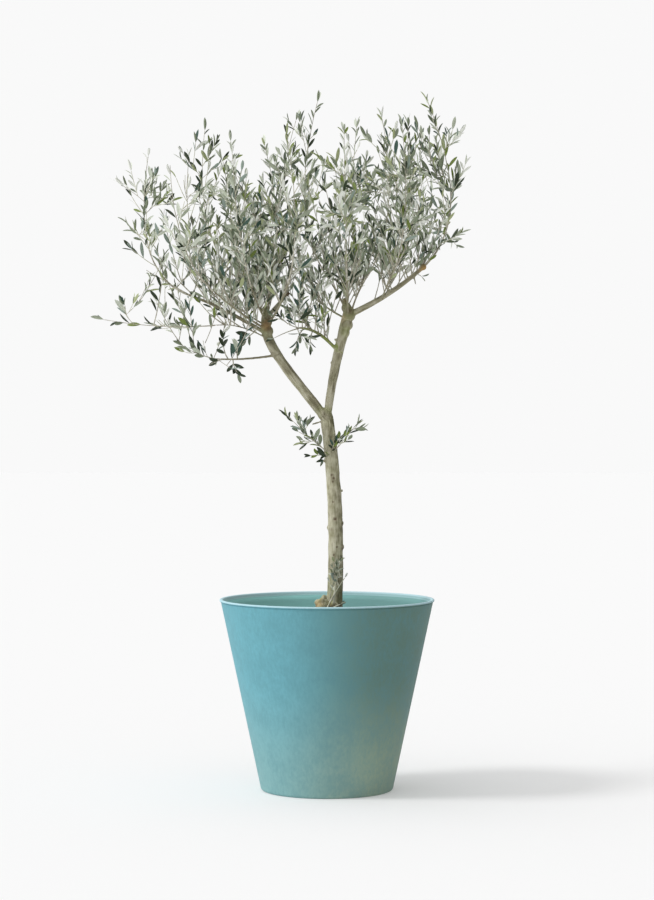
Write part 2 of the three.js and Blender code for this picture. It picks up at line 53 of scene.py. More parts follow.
# Each bough: the limb that carries it and the share of that limb's length, or its foot; its tip; its bow;
# its radii at foot and tip; how hard it pulls towards the bow; and its foot's shift aside.
mainBoughs = {
    "left_bough": (None, (-3, 0, 952), (-154, -2, 1216), (-85, 0, 66), (12.4, 13), 0.92),
    "right_bough": (None, (0, 0, 948), (58, 0, 1230), (-13, 4, -8), (9.8, 14.6), 0.76),
}
sideBoughs = {
    "left_outer_bough": ("left_bough", 0.84, (-353, -26, 1266), (-6, -6, 16), (7.4, 4.4)),
    "left_front_bough": ("left_bough", 0.88, (-284, -118, 1270), (0, -14, -10), (6, 3.8)),
    "left_rear_bough": ("left_bough", 0.91, (-282, 120, 1280), (0, 14, -10), (6, 3.8)),
    "left_low_bough": ("left_bough", 0.79, (-283, -40, 1188), (-2, -6, 26), (4.2, 2.8)),
    "hanging_bough": ("left_bough", 0.65, (-272, -30, 1102), (-6, -6, -8), (4.4, 3)),
    "middle_front_bough": ("left_bough", 0.945, (-190, -122, 1282), (0, -12, -14), (5, 3.6)),
    "middle_rear_bough": ("left_bough", 0.95, (-188, 124, 1290), (0, 12, -14), (5, 3.6)),
    "centre_front_bough": ("left_bough", 0.91, (-98, -122, 1290), (8, -10, -16), (5.6, 3.8)),
    "left_top_bough": ("left_bough", 0.97, (-222, 34, 1302), (8, 4, 14), (4.8, 3.6), 2 / 3, (-5, 2, 0)),
    "middle_bough": ("left_bough", 0.97, (-140, -34, 1304), (-6, -4, 6), (4.8, 3.6), 2 / 3, (5, -2, 0)),
    "right_arm": ("right_bough", 0.945, (246, 6, 1338), (12, 0, -14), (9, 5.6)),
    "cross_bough": ("right_bough", 0.61, (-72, -22, 1182), (-2, -4, 27), (5.4, 3.6), 0.8),
    "right_front_bough": ("right_bough", 0.945, (50, -124, 1298), (0, -14, -14), (5.6, 3.8)),
    "right_rear_bough": ("right_bough", 0.945, (54, 126, 1304), (0, 14, -14), (5.6, 3.8)),
    "centre_rear_bough": ("right_bough", 0.91, (-66, 122, 1296), (-4, 14, -14), (5.4, 3.8)),
    "centre_bough": ("right_bough", 0.975, (2, 32, 1312), (0, 4, 8), (5.8, 3.8), 2 / 3, (-5, 2, 0)),
    "right_middle_bough": ("right_bough", 0.975, (100, -34, 1308), (-6, -4, 4), (5.4, 3.8), 2 / 3,
        (6, -2, 0)),
    "arm_front_bough": ("right_arm", 0.42, (172, -108, 1336), (0, -12, -8), (4.6, 3.4)),
    "arm_rear_bough": ("right_arm", 0.47, (178, 112, 1342), (0, 12, -8), (4.6, 3.4)),
}

# Each mass: its bough, or a sprig's root and heading; its highest tip; its reach to the side and back; how much
# lower its rim hangs; outer tips it also reaches; shoots besides the leader; and the size of its sprays.
massRows = {
    "left_outer": ("left_outer_bough", (-450, -34, 1642), (80, 104), 330,
        [(-548, -20, 1562), (-500, 34, 1430)], 6),
    "left_front": ("left_front_bough", (-392, -158, 1608), (84, 92), 330),
    "left_rear": ("left_rear_bough", (-360, 168, 1660), (86, 96), 360),
    "left_low": ("left_low_bough", (-590, -62, 1206), (30, 40), 40,
        [(-514, -52, 1400), (-470, -70, 1300)], 3, 0.62),
    "hanging": ("hanging_bough", (-388, -30, 1150), (34, 40), 90,
        [(-226, -48, 1064), (-306, -28, 1162)], 3, 0.6),
    "left_top": ("left_top_bough", (-312, 66, 1718), (80, 92), 390, [(-384, 40, 1650)]),
    "middle": ("middle_bough", (-164, -72, 1664), (80, 96), 350),
    "middle_front": ("middle_front_bough", (-236, -186, 1634), (82, 94), 340),
    "middle_rear": ("middle_rear_bough", (-256, 196, 1704), (84, 96), 380),
    "centre_front": ("centre_front_bough", (-104, -176, 1680), (82, 94), 380),
    "lower_middle": ("cross_bough", (-138, -34, 1232), (36, 36), 50,
        [(-24, -52, 1298), (-88, -62, 1306), (-44, -44, 1126), (14, -52, 1252)], 2, 0.62),
    "centre": ("centre_bough", (-18, 62, 1790), (78, 92), 430, [(-74, 44, 1736)]),
    "centre_rear": ("centre_rear_bough", (-74, 184, 1756), (84, 96), 430),
    "right_middle": ("right_middle_bough", (134, -62, 1734), (80, 94), 390),
    "right_front": ("right_front_bough", (42, -190, 1686), (82, 94), 380),
    "right_rear": ("right_rear_bough", (80, 200, 1744), (84, 96), 410),
    "right_outer": ("right_arm", (248, 30, 1786), (82, 96), 400,
        [(316, 0, 1670), (326, -30, 1556), (306, 44, 1446)]),
    "arm_front": ("arm_front_bough", (184, -168, 1706), (84, 94), 360),
    "arm_rear": ("arm_rear_bough", (212, 172, 1744), (84, 96), 390),
    "trunk_sprig_left": (((10, -8, 860), (-0.75, -0.5, 0.5)), (-118, -28, 976), (30, 26), 50,
        [(-58, -34, 880)], 1, 0.5),
    "trunk_sprig_right": (((10, -6, 858), (0.5, -0.6, 0.6)), (92, -24, 956), (26, 24), 40, [], 1, 0.5),
    "base_sprig": (((8, -14, 460), (-0.1, -0.8, 0.6)), (30, -44, 596), (10, 12), 60, [], 1, 0.5),
}

# The growth rule, with the same streams of numbers as the solids.
twig = dict(tipRadius=1.5, swell=0.009, thickest=4.2, sprigRadius=2.5, carried=0.5, bend=0.42, rise=0.45,
    follow=0.5, rootPlaces=12, highestRoot=0.72, openingCost=1, bed=5.2)
tipPlaces = dict(innermost=0.9, drop=0.08, rimDrop=0.5, randomDrop=0.42, pulls=8, pull=0.15)
spray = dict(length=88, variation=0.16, angle=0.62, angleVariation=0.25, turn=2.4, spacing=46, fewest=2,
    reach=0.97, longestLast=0.5, firstOnLeader=0.16, firstOnShoot=0.2, seedStep=97)
space = dict(margin=0.035, narrowest=30, limbSamples=24, openEnd=2)

# What the scene adds to it: real leaves in opposite pairs, on the shoots and on a fine twig per spray.
fineTwig = dict(tipRadius=0.75, footShare=0.68, sprayRadius=1.2, carried=0.7, thinning=1.9, rise=0.3, wave=1.8,
    waveLength=45, segment=12, shortest=12)
leafHabit = dict(length=36, variation=0.24, width=8.4, lift=0.22, spacing=15.5, spacingVariation=0.28,
    angle=0.66, angleVariation=0.5, stray=0.35, twist=0.3, roll=1.35, lastAngle=0.28, lastVariation=0.25,
    terminal=0.8, tipShrink=0.3, shrinkFrom=0.6, keepFoot=0.06, keepTip=0.76, keepOnSpray=0.58, bareShare=0.2,
    bareOnSpray=10, bareEnd=4, bed=2.5)
# Shoots that fill the crown from its lower boughs up, each where the most room is left.
filling = dict(shoots=300, tries=7, seed=9157, lengths=(75, 185), lowest=0.2, lowestOnBough=0.25, highest=0.96,
    fromBoughs=0.38, belowTop=45, ring=1.05, aside=0.7, follow=0.35, lift=1.0, nearBough=80, aboveBough=150,
    radius=1.3, keepLeaf=0.45, leaf=0.95, bareShare=0.18)
# Where a mass differs: how leafy it is, its leaves' size, width and darkness, and how many times over it
# carries filling shoots. A share under 1 picks darker tints.
usualHabit = dict(leafy=1, leaf=1, wide=1, dark=1, more=1)
habits = {
    "left_outer": dict(leafy=0.68, more=2), "left_front": dict(leafy=0.46), "left_rear": dict(leafy=0.22),
    "left_low": dict(leafy=0.26, wide=1.2, dark=0.7), "hanging": dict(leafy=0.13, wide=1.3, dark=0.85),
    "left_top": dict(leafy=0.26), "middle_front": dict(leafy=0.75), "middle_rear": dict(leafy=0.5),
    "centre_front": dict(leafy=0.7), "lower_middle": dict(leafy=0.8), "centre": dict(leafy=0.32),
    "centre_rear": dict(leafy=0.45), "right_middle": dict(leafy=0.75), "right_rear": dict(leafy=0.65),
    "right_outer": dict(leafy=0.85, more=3), "arm_front": dict(more=2), "arm_rear": dict(leafy=0.85),
    "trunk_sprig_left": dict(leafy=1.5, leaf=0.85, wide=1.3, dark=0.75),
    "trunk_sprig_right": dict(leafy=1.5, leaf=0.8, wide=1.3, dark=0.8), "base_sprig": dict(leafy=0.2, leaf=0.6),
}
bareBoughs = ["hanging_bough"]        # no filling shoots
# Where the sky shows through from the front: across, height and radius.
skyGaps = [(-455, 1346, 24), (-358, 1491, 22), (-373, 1542, 24), (-376, 1588, 24), (-212, 1617, 18),
    (-483, 1421, 15), (74, 1642, 15), (120, 1642, 13), (10, 1622, 13), (-128, 1629, 13), (118, 1258, 14),
    (-350, 1286, 16), (-120, 1480, 9), (60, 1400, 9), (200, 1560, 10), (-368, 1331, 14), (-346, 1308, 12),
    (-322, 1153, 16), (-302, 1140, 14), (-355, 1163, 20), (-309, 1087, 16), (-437, 1208, 16), (-471, 1220, 18),
    (-412, 1203, 12)]
# Single shoots that the photo shows one by one: the limb, and for each its share of the length, its reach and
# how leafy it is.
loneShoots = [
    ("hanging_bough", [(0.78, (12, -8, -36), 0.9), (0.96, (-34, -6, -14), 0.7), (0.7, (6, -10, 44), 0.95),
        (0.86, (-14, 8, 52), 0.9)]),
    ("right_arm", [(0.97, (62, -8, 150), 0.35), (0.95, (18, -14, 150), 0.6), (0.9, (-10, 16, 165), 0.6),
        (0.99, (44, -14, 60), 0.8), (0.88, (15, -15, -6), 0.05), (0.9, (-6, -20, 112), 1),
        (0.83, (-24, -26, 92), 1), (0.97, (6, -16, 96), 1), (0.88, (44, -12, 74), 0.7),
        (0.8, (36, -14, 96), 0.6)]),
    ("left_bough", [(0.96, (36, -16, 120), 0.3)]),
    ("cross_bough", [(0.55, (-8, -14, 92), 0.4), (0.4, (10, 10, 100), 0.4)]),
    ("left_outer_bough", [(0.97, (-112, -16, 64), 0.6), (0.9, (-96, 22, 104), 0.6), (0.7, (-70, -24, 92), 0.55),
        (0.5, (-62, 10, 84), 0.5)]),
    ("left_low_bough", [(0.85, (-70, -16, 66), 0.6), (0.55, (-52, 12, 40), 0.6), (0.3, (-30, -10, -34), 0.6)]),
    ("cross_bough", [(0.97, (-66, -14, -26), 0.35), (0.9, (-20, -10, -48), 0.8), (0.7, (-6, -12, -34), 0.5)]),
    ("trunk", [(0.785, (8, -44, 30), 0.95), (0.775, (-52, -20, 4), 0.85), (0.785, (-20, -40, -14), 0.6),
        (0.81, (42, -26, 44), 0.9)]),
]
# Thin pale stems that rise before the foot of the trunk: start, reach and how leafy.
footShoots = [((-13, -34, 434), (58, -13, 112), 0), ((17, -38, 482), (11, -5, 98), 0.2),
    ((33, -42, 550), (-15, -5, 36), 1), ((24, -42, 558), (11, -3, 32), 0.9), ((8, -36, 462), (26, -6, 16), 0),
    ((29, -41, 526), (-15, -6, 32), 1), ((24, -41, 536), (4, -7, 36), 1), ((22, -41, 540), (-8, -6, 30), 1)]
loneHabit = dict(seed=2203, footSeed=433, follow=0.4, bareShare=0.3, radius=1.5, footRadius=2.5,
    hangingDark=0.6)
# The leaves on these; the wider ones are seen face on.
loneLeaves = {"usual": dict(size=0.9, wide=1, dark=1), "hanging_bough": dict(size=0.8, wide=1.4, dark=0.8),
    "left_low_bough": dict(size=0.9, wide=1.2, dark=0.6), "trunk": dict(size=0.72, wide=1.3, dark=0.6),
    "foot": dict(size=0.52, wide=1.3, dark=1)}
# How thick the living wood of a side bough is next to its solid.
slimness = {"right_arm": 0.92, "cross_bough": 0.88, "left_outer_bough": 0.76, "left_front_bough": 0.6,
    "left_rear_bough": 0.5, "left_low_bough": 0.6, "hanging_bough": 0.8, "centre_front_bough": 0.7}
usualSlimness = 0.56


def vec(values):
    return np.array(values, float)


def unit(vector):
    return vector / np.linalg.norm(vector)


def seeded(seed):        # a repeatable stream of numbers between 0 and 1
    state = [seed * 2654435761 % 2 ** 32]

    def draw():
        state[0] = (state[0] * 1664525 + 1013904223) % 2 ** 32
        return state[0] / 2 ** 32
    return draw


def either(draw):        # evenly between -1 and 1
    return 2 * draw() - 1


def spread(draw, variation):        # a factor that varies evenly round 1
    return 1 + variation * either(draw)


def bezier(*controls):        # a path with a table of its lengths, so that it can be walked evenly
    path = {"controls": vec(controls), "shares": np.linspace(0, 1, 201)}
    steps = np.diff(onPath(path, path["shares"]), axis=0)
    path["lengths"] = np.concatenate([[0], np.cumsum(np.linalg.norm(steps, axis=1))])
    path["length"] = path["lengths"][-1]
    return path


def onPath(path, t):        # de Casteljau, for one parameter or many
    t = np.asarray(t, float)[..., None, None]
    points = np.broadcast_to(path["controls"], t.shape[:-2] + path["controls"].shape)
    while points.shape[-2] > 1:
        points = points[..., :-1, :] * (1 - t) + points[..., 1:, :] * t
    return points[..., 0, :]


def directionOn(path, t):
    step = onPath(path, np.clip(t + 1e-4, 0, 1)) - onPath(path, np.clip(t - 1e-4, 0, 1))
    return step / np.linalg.norm(step, axis=-1, keepdims=True)


def atShare(path, share):        # the parameter at a share of the length
    return np.interp(np.asarray(share) * path["length"], path["lengths"], path["shares"])


def pointAt(path, share):
    return onPath(path, atShare(path, share))


def placeAt(path, share):        # point and direction at a share of the length
    t = atShare(path, share)
    return onPath(path, t), directionOn(path, t)


def taper(radii):
    return lambda t: radii[0] + (radii[1] - radii[0]) * t


def outward(tangent, turn):        # square to the tangent, turned round it
    reference = vec((0, 1, 0)) if abs(tangent[1]) < 0.8 else vec((0, 0, 1))
    side = unit(np.cross(tangent, reference))
    return side * math.cos(turn) + np.cross(side, tangent) * math.sin(turn)


def trunkRadius(t):
    height = onPath(limbs["trunk"]["path"], t)[..., 2] - trunk["base"][2]
    return taper(trunk["radii"])(t) + trunk["flare"] * np.exp(-height / trunk["flareHeight"])


def limbOf(on, at, tip, bow, radii, pull=2 / 3, aside=(0, 0, 0)):
    foot = pointAt(limbs[on]["path"], at) + vec(aside) if on else vec(at)
    tip = vec(tip)
    bend = (foot + tip) / 2 + vec(bow)
    return {"path": bezier(foot, foot + (bend - foot) * pull, tip + (bend - tip) * pull, tip),
        "radiusAt": taper(radii)}


def massOf(seed, root, top, reach, fall, tips=(), shoots=7, size=1):
    return dict(seed=seed, root=root, bough=root if isinstance(root, str) else None, top=vec(top), reach=reach,
        fall=fall, tips=tips, shoots=shoots, size=size)


limbs = {"trunk": limbOf(None, trunk["base"], trunk["fork"], trunk["bow"], trunk["radii"])}
limbs["trunk"]["radiusAt"] = trunkRadius
for name, row in {**mainBoughs, **sideBoughs}.items():
    limbs[name] = limbOf(*row)
masses = {name: massOf(firstSeed + i, *row) for i, (name, row) in enumerate(massRows.items())}


def startOf(mass):        # foot, heading and radius of its leader
    if not mass["bough"]:
        root, heading = mass["root"]
        return vec(root), unit(vec(heading)), twig["sprigRadius"]
    limb = limbs[mass["bough"]]
    tip, heading = onPath(limb["path"], 1), directionOn(limb["path"], 1)
    return tip + heading * clearance, heading, limb["radiusAt"](1)


spaces = {name: {"foot": startOf(mass)[0], "top": mass["top"], "width": max(sum(mass["reach"]) / 2,
    space["narrowest"])} for name, mass in masses.items()}


def nearestOnAxis(room, points):
    axis = room["top"] - room["foot"]
    share = np.clip((points - room["foot"]) @ axis / (axis @ axis), 0, 1)
    return room["foot"] + share[..., None] * axis


def widthsAway(room, points):
    return np.linalg.norm(points - nearestOnAxis(room, points), axis=-1) / room["width"]


def inSpace(name, points):        # nearer its own axis, in its own widths, than any other's
    points = np.atleast_2d(points)
    own = widthsAway(spaces[name], points) + space["margin"]
    return np.all([widthsAway(room, points) > own for key, room in spaces.items() if key != name])


limbShares = np.linspace(0, 1, space["limbSamples"] + 1)
limbSamples = {name: (onPath(limb["path"], limbShares), limb["radiusAt"](limbShares))
    for name, limb in limbs.items()}
boughCentres = np.concatenate([limbSamples[name][0][6:] for name in sideBoughs])        # all but their feet


def clearOfLimbs(points, room, own=None):
    points = np.atleast_2d(points)
    clear = np.ones(len(points), bool)
    for name, (centres, radii) in limbSamples.items():
        last = len(radii) - (space["openEnd"] if name == own else 0)
        away = np.linalg.norm(points[:, None] - centres[None, :last], axis=2) - radii[:last]
        clear &= away.min(axis=1) >= room
    return clear


def makeShoot(foot, lead, tip, carrierRadius):
    length = np.linalg.norm(tip - foot)
    path = bezier(foot, foot + lead * length * twig["bend"], tip)
    footRadius = min(twig["tipRadius"] + twig["swell"] * length, twig["thickest"], carrierRadius)
    return {"path": path, "length": path["length"], "radiusAt": taper((footRadius, twig["tipRadius"]))}


def bestRoot(shoots, tip):        # a near place on the wood so far, at a narrow fork
    best = (math.inf,)
    for shoot in shoots:
        places = np.arange(1, int(twig["rootPlaces"] * twig["highestRoot"]) + 1) / twig["rootPlaces"]
        points, tangents = placeAt(shoot["path"], places)
        reach = tip - points
        lengths = np.linalg.norm(reach, axis=1)
        opening = 1 - np.sum(reach * tangents, axis=1) / lengths
        costs = lengths * (1 + twig["openingCost"] * opening)
        i = int(np.argmin(costs))
        if costs[i] < best[0]:
            best = (costs[i], shoot, places[i], points[i], tangents[i])
    return best[1:]


def tipsOf(mass, foot, draw):
    top, phase = mass["top"], draw() * fullTurn
    tips = [vec(tip) for tip in mass["tips"]]
    for i in range(mass["shoots"]):
        ring = math.sqrt((i + tipPlaces["innermost"]) / mass["shoots"])
        angle = phase + i * goldenAngle
        drop = tipPlaces["drop"] + tipPlaces["rimDrop"] * ring * ring + tipPlaces["randomDrop"] * draw()
        along = 1 - mass["fall"] * drop / max(top[2] - foot[2], mass["fall"])
        tip = foot + (top - foot) * min(max(along, 0), 1)
        tip[:2] += ring * vec((mass["reach"][0] * math.cos(angle), mass["reach"][1] * math.sin(angle)))
        tips.append(tip)
    return tips


def growShoots(name, mass):
    foot, heading, radius = startOf(mass)
    shoots = [makeShoot(foot, heading, mass["top"], radius)]
    for tip in tipsOf(mass, foot, seeded(mass["seed"])):
        onAxis = nearestOnAxis(spaces[name], tip)
        for _ in range(tipPlaces["pulls"]):
            if inSpace(name, tip):
                break
            tip = tip + (onAxis - tip) * tipPlaces["pull"]
        carrier, share, point, tangent = bestRoot(shoots, tip)
        lead = unit(unit((tip - point) * vec((1, 1, twig["rise"]))) + twig["follow"] * tangent)
        shoot = makeShoot(point, lead, tip, carrier["radiusAt"](share) * twig["carried"])
        tested = onPath(shoot["path"], (0.25, 0.5, 0.75, 1))
        if inSpace(name, tested) and clearOfLimbs(tested, twig["bed"], mass["bough"]).all():
            shoots.append(shoot)
    return shoots


def growSprays(shoot, index, mass):        # root, direction, length and share of each spray on one shoot
    draw = seeded(mass["seed"] * spray["seedStep"] + index)
    length = spray["length"] * mass["size"]
    lastLength = length * spread(draw, spray["variation"])
    end = 1 - spray["reach"] * min(lastLength / shoot["length"], spray["longestLast"])
    first = spray["firstOnShoot" if index else "firstOnLeader"]
    room = shoot["length"] * (end - first)
    # the half is rounded up, as in the solids
    count = max(spray["fewest"], math.floor(room / (spray["spacing"] * mass["size"]) + 0.5))
    phase = draw() * fullTurn
    for k in range(count):
        own = length * spread(draw, spray["variation"])
        angle = spray["angle"] * spread(draw, spray["angleVariation"])
        share = first + (end - first) * k / count
        root, tangent = placeAt(shoot["path"], share)
        aside = outward(tangent, phase + k * spray["turn"])
        yield root, tangent * math.cos(angle) + aside * math.sin(angle), own, share


# Finer growth on the same wood.
stems, leaves, crownShoots = [], [], []


def waved(path, seed, end=1):        # points of a stem, with the slight waver of real wood
    count = max(3, int(path["length"] * end / fineTwig["segment"]))
    shares = np.linspace(0, end, count + 1)
    points = pointAt(path, shares)
    sway = np.sin(np.pi * shares / end)[:, None] * fineTwig["wave"]
    for i, point in enumerate(points):
        points[i] += sway[i] * vec(noise.noise_vector(Vector(point / fineTwig["waveLength"] + seed)))
    return points, shares


def addStem(points, radii, young=False):
    stems.append({"points": points, "radii": radii, "young": young})


def leafAt(root, tangent, aside, angle, roll, scale, tint):
    # leaves turn up a little, on level shoots too
    along = unit(tangent * math.cos(angle) + aside * math.sin(angle) + vec((0, 0, leafHabit["lift"])))
    upper = tangent * math.sin(angle) - aside * math.cos(angle)
    upper = unit(upper - along * (upper @ along))
    upper = upper * math.cos(roll) + np.cross(along, upper) * math.sin(roll)
    return {"root": root, "along": along, "upper": upper, "scale": scale, "tint": tint, "wide": 1, "dark": 1}


def leafPairs(path, draw, tint, bare, keepAt, size):        # opposite pairs, each turned square to the last
    h, grown = leafHabit, []
    distance, turn = bare, draw() * fullTurn
    while distance < path["length"] - h["bareEnd"]:
        share = distance / path["length"]
        root, tangent = placeAt(path, share)
        for half in (0, math.pi):
            kept = draw() < keepAt(share)
            angle = h["angle"] * spread(draw, h["angleVariation"])
            turned = turn + half + h["stray"] * either(draw)
            shrink = h["tipShrink"] * max(0, share - h["shrinkFrom"]) / (1 - h["shrinkFrom"])
            scale = size * spread(draw, h["variation"]) * (1 - shrink)
            roll = h["roll"] * either(draw)
            if kept:
                grown.append(leafAt(root, tangent, outward(tangent, turned), angle, roll, scale, tint))
        turn += math.pi / 2 + h["twist"] * either(draw)
        distance += h["spacing"] * spread(draw, h["spacingVariation"])
    # the last pair stands almost closed, round the bud
    root, tangent = placeAt(path, 1)
    for half in (0, math.pi):
        angle = h["lastAngle"] * spread(draw, h["angleVariation"])
        scale = size * h["terminal"] * spread(draw, h["lastVariation"])
        grown.append(leafAt(root, tangent, outward(tangent, turn + half), angle, 0, scale, tint))
    return grown


def inGap(point):
    return any((point[0] - x) ** 2 + (point[2] - z) ** 2 < radius ** 2 for x, z, radius in skyGaps)


def clearLeaves(tried, own=None):        # a leaf that would touch a limb or hide the sky is skipped
    roots = np.array([leaf["root"] for leaf in tried])
    reach = np.array([leaf["along"] * leafHabit["length"] * leaf["scale"] for leaf in tried])
    middles = roots + reach / 2
    stays = clearOfLimbs(roots + reach, leafHabit["bed"], own) & clearOfLimbs(middles, leafHabit["bed"], own)
    return [leaf for leaf, kept, middle in zip(tried, stays, middles) if kept and not inGap(middle)]


def cutPath(path, end):        # the first share of a path
    t = atShare(path, end)
    points, kept = path["controls"], []
    while len(points):
        kept.append(points[0])
        points = points[:-1] * (1 - t) + points[1:] * t
    return bezier(*kept)


def growMass(name, mass):
    h, tried = {**usualHabit, **habits.get(name, {})}, []
    tipRadius, bough = fineTwig["tipRadius"], mass["bough"]
    low, high = leafHabit["keepFoot"] * h["leafy"], leafHabit["keepTip"] * (h["leafy"] + 1) / 2
    keep = leafHabit["keepOnSpray"] * (h["leafy"] + 1) / 2
    for index, shoot in enumerate(growShoots(name, mass)):
        if bough:
            crownShoots.extend([shoot] * h["more"])
        draw = seeded(mass["seed"] * 131 + index * 7 + 5)
        end = 1 - 0.72 * min(leafHabit["length"] / shoot["length"], 0.6)
        points, shares = waved(shoot["path"], mass["seed"], end)
        foot = shoot["radiusAt"](0) * fineTwig["footShare"]
        if bough and index == 0:
            foot = min(foot, limbs[bough]["radiusAt"](1) * slimness.get(bough, usualSlimness))
        addStem(points, tipRadius + (foot - tipRadius) * (1 - shares / end) ** fineTwig["thinning"])
        tried += leafPairs(cutPath(shoot["path"], end), draw, draw(), shoot["length"] * leafHabit["bareShare"],
            lambda share: low + (high - low) * share ** 0.8, h["leaf"])
        for root, along, length, share in growSprays(shoot, index, mass):
            length -= leafHabit["length"] * 0.7
            tint = draw()
            if draw() > h["leafy"] ** 0.5:
                continue
            if length < fineTwig["shortest"]:
                tried += [leafAt(root, along, outward(along, half), 0.3, 0, h["leaf"], tint)
                    for half in (0, math.pi)]
                continue
            lifted = unit(along + vec((0, 0, fineTwig["rise"])))
            fine = bezier(root, root + along * length / 2, root + (along + lifted) / 2 * length)
            tested = onPath(fine, (0.5, 1))
            if not (inSpace(name, tested) and clearOfLimbs(tested, leafHabit["bed"], bough).all()):
                continue
            points, shares = waved(fine, mass["seed"])
            thick = min(fineTwig["sprayRadius"], shoot["radiusAt"](share) * fineTwig["carried"])
            addStem(points, thick + (tipRadius - thick) * shares, young=True)
            tried += leafPairs(fine, draw, tint, leafHabit["bareOnSpray"], lambda share: keep, h["leaf"])
    leaves.extend({**leaf, "wide": h["wide"], "dark": h["dark"]} for leaf in clearLeaves(tried, bough))


def inCrown(point):        # under a mass's domed top, or just above a side bough
    for name, mass in masses.items():
        ring = widthsAway(spaces[name], point)
        top = mass["top"][2] - mass["fall"] * (tipPlaces["drop"] + tipPlaces["rimDrop"] * ring * ring)
        if mass["bough"] and ring < filling["ring"] and point[2] < top - filling["belowTop"]:
            return True
    flat = np.linalg.norm(boughCentres[:, :2] - point[:2], axis=1)
    above = point[2] - boughCentres[:, 2]
    return np.any((flat < filling["nearBough"]) & (above > 0) & (above < filling["aboveBough"]))


def fillCrown():
    f, draw = filling, seeded(filling["seed"])
    boughs = [{**limbs[name], "lowest": f["lowestOnBough"]} for name in sideBoughs if name not in bareBoughs]
    shoots = [{**shoot, "lowest": f["lowest"]} for shoot in crownShoots]
    taken = np.concatenate([stem["points"][::2] for stem in stems])
    for index in range(f["shoots"]):
        best = (0,)
        for _ in range(f["tries"]):
            carriers = boughs if draw() < f["fromBoughs"] else shoots
            carrier = carriers[int(draw() * len(carriers))]
            share = carrier["lowest"] + (f["highest"] - carrier["lowest"]) * draw()
            turn = draw() * fullTurn
            length = f["lengths"][0] + (f["lengths"][1] - f["lengths"][0]) * draw()
            root, tangent = placeAt(carrier["path"], share)
            aside = vec((math.cos(turn), math.sin(turn), 0)) * f["aside"]
            lead = unit(aside + vec((0, 0, f["lift"])) + tangent * f["follow"])
            tip = root + unit(lead + vec((0, 0, fineTwig["rise"]))) * length
            middle = (root + tip) / 2
            clear = inCrown(tip) and clearOfLimbs([middle, tip], twig["bed"]).all()
            if not clear or inGap(tip) or inGap(middle):
                continue
            room = min(np.linalg.norm(taken - tip, axis=1).min(),
                2 * np.linalg.norm(taken - middle, axis=1).min())
            if room > best[0]:
                best = (room, carrier, share, root, lead, tip)
        if len(best) == 1:
            continue
        _, carrier, share, root, lead, tip = best
        radius = min(fineTwig["sprayRadius"] * f["radius"],
            float(carrier["radiusAt"](share)) * fineTwig["carried"])
        shoot = makeShoot(root, lead, tip, radius)
        points, shares = waved(shoot["path"], f["seed"] + index)
        addStem(points, radius + (fineTwig["tipRadius"] - radius) * shares)
        taken = np.concatenate([taken, points[::2]])
        leaves.extend(clearLeaves(leafPairs(shoot["path"], draw, draw(), shoot["length"] * f["bareShare"],
            lambda share: f["keepLeaf"], f["leaf"])))


def growLoneShoots(limb, rows, draw, atFoot=False):
    look = loneLeaves["foot" if atFoot else limb if limb in loneLeaves else "usual"]
    for share, reach, leafy in rows:
        root, tangent = (vec(share), vec((0, 0, 1))) if atFoot else placeAt(limbs[limb]["path"], share)
        lead = unit(unit(vec(reach)) + loneHabit["follow"] * tangent)
        path = makeShoot(root, lead, root + vec(reach), twig["thickest"])["path"]
        points, shares = waved(path, len(leaves))
        foot = fineTwig["sprayRadius"] * loneHabit["footRadius" if atFoot else "radius"]
        addStem(points, foot + (fineTwig["tipRadius"] - foot) * shares ** (2 if atFoot else 1), young=atFoot)
        grown = leafPairs(path, draw, draw(), path["length"] * loneHabit["bareShare"], lambda share: leafy,
            look["size"])
        dark = loneHabit["hangingDark"] if look["wide"] == 1 and reach[2] < 0 else look["dark"]
        for leaf in grown:
            leaf.update(wide=look["wide"], dark=dark)
            if look["wide"] > 1 and not atFoot:
                front = leaf["upper"] * 0.4 + vec((0, -1, 0.1))
                leaf["upper"] = unit(front - leaf["along"] * (front @ leaf["along"]))
        leaves.extend(clearLeaves(grown, limb))


for name, mass in masses.items():
    growMass(name, mass)
print("grown by the rule,", len(stems), "stems and", len(leaves), "leaves")
loneDraw = seeded(loneHabit["seed"])
for limb, rows in loneShoots:
    growLoneShoots(limb, rows, loneDraw)
growLoneShoots("trunk", footShoots, seeded(loneHabit["footSeed"]), atFoot=True)
fillCrown()
print("grown,", len(stems), "stems and", len(leaves), "leaves")


# Small tools: colours, nodes, meshes and evaluated node trees.
def linear(hexColour):        # sRGB hex to the linear values that sockets take
    channels = [int(hexColour[i:i + 2], 16) / 255 for i in (1, 3, 5)]
    return [c / 12.92 if c <= 0.04045 else ((c + 0.055) / 1.055) ** 2.4 for c in channels] + [1]


def setNode(tree, node, values):        # a value is a setting, or the (node, output) that feeds an input
    for name, value in values.items():
        if isinstance(value, tuple) and isinstance(value[0], bpy.types.Node):
            tree.links.new(value[0].outputs[value[1]], node.inputs[name])
        elif name == "stops":        # of a colour ramp
            elements = node.color_ramp.elements
            while len(elements) < len(value):
                elements.new(0.5)
            for element, (place, hexColour) in zip(elements, value):
                element.position = place
                element.color = linear(hexColour)
        elif isinstance(name, int) or name in node.inputs:
            node.inputs[name].default_value = value
        else:
            setattr(node, name, value)
    return node


def addNode(tree, kind, values={}):
    prefixes = ("ShaderNode", "GeometryNode", "FunctionNode", "Node")
    known = next(prefix + kind for prefix in prefixes if hasattr(bpy.types, prefix + kind))
    return setNode(tree, tree.nodes.new(known), values)


def addRow(tree, source, *steps):        # nodes in a row up to the output, each fed the last one's geometry
    for kind, values in (*steps, ("GroupOutput", {})):
        source = (addNode(tree, kind, {**values, 0: source}), 0)


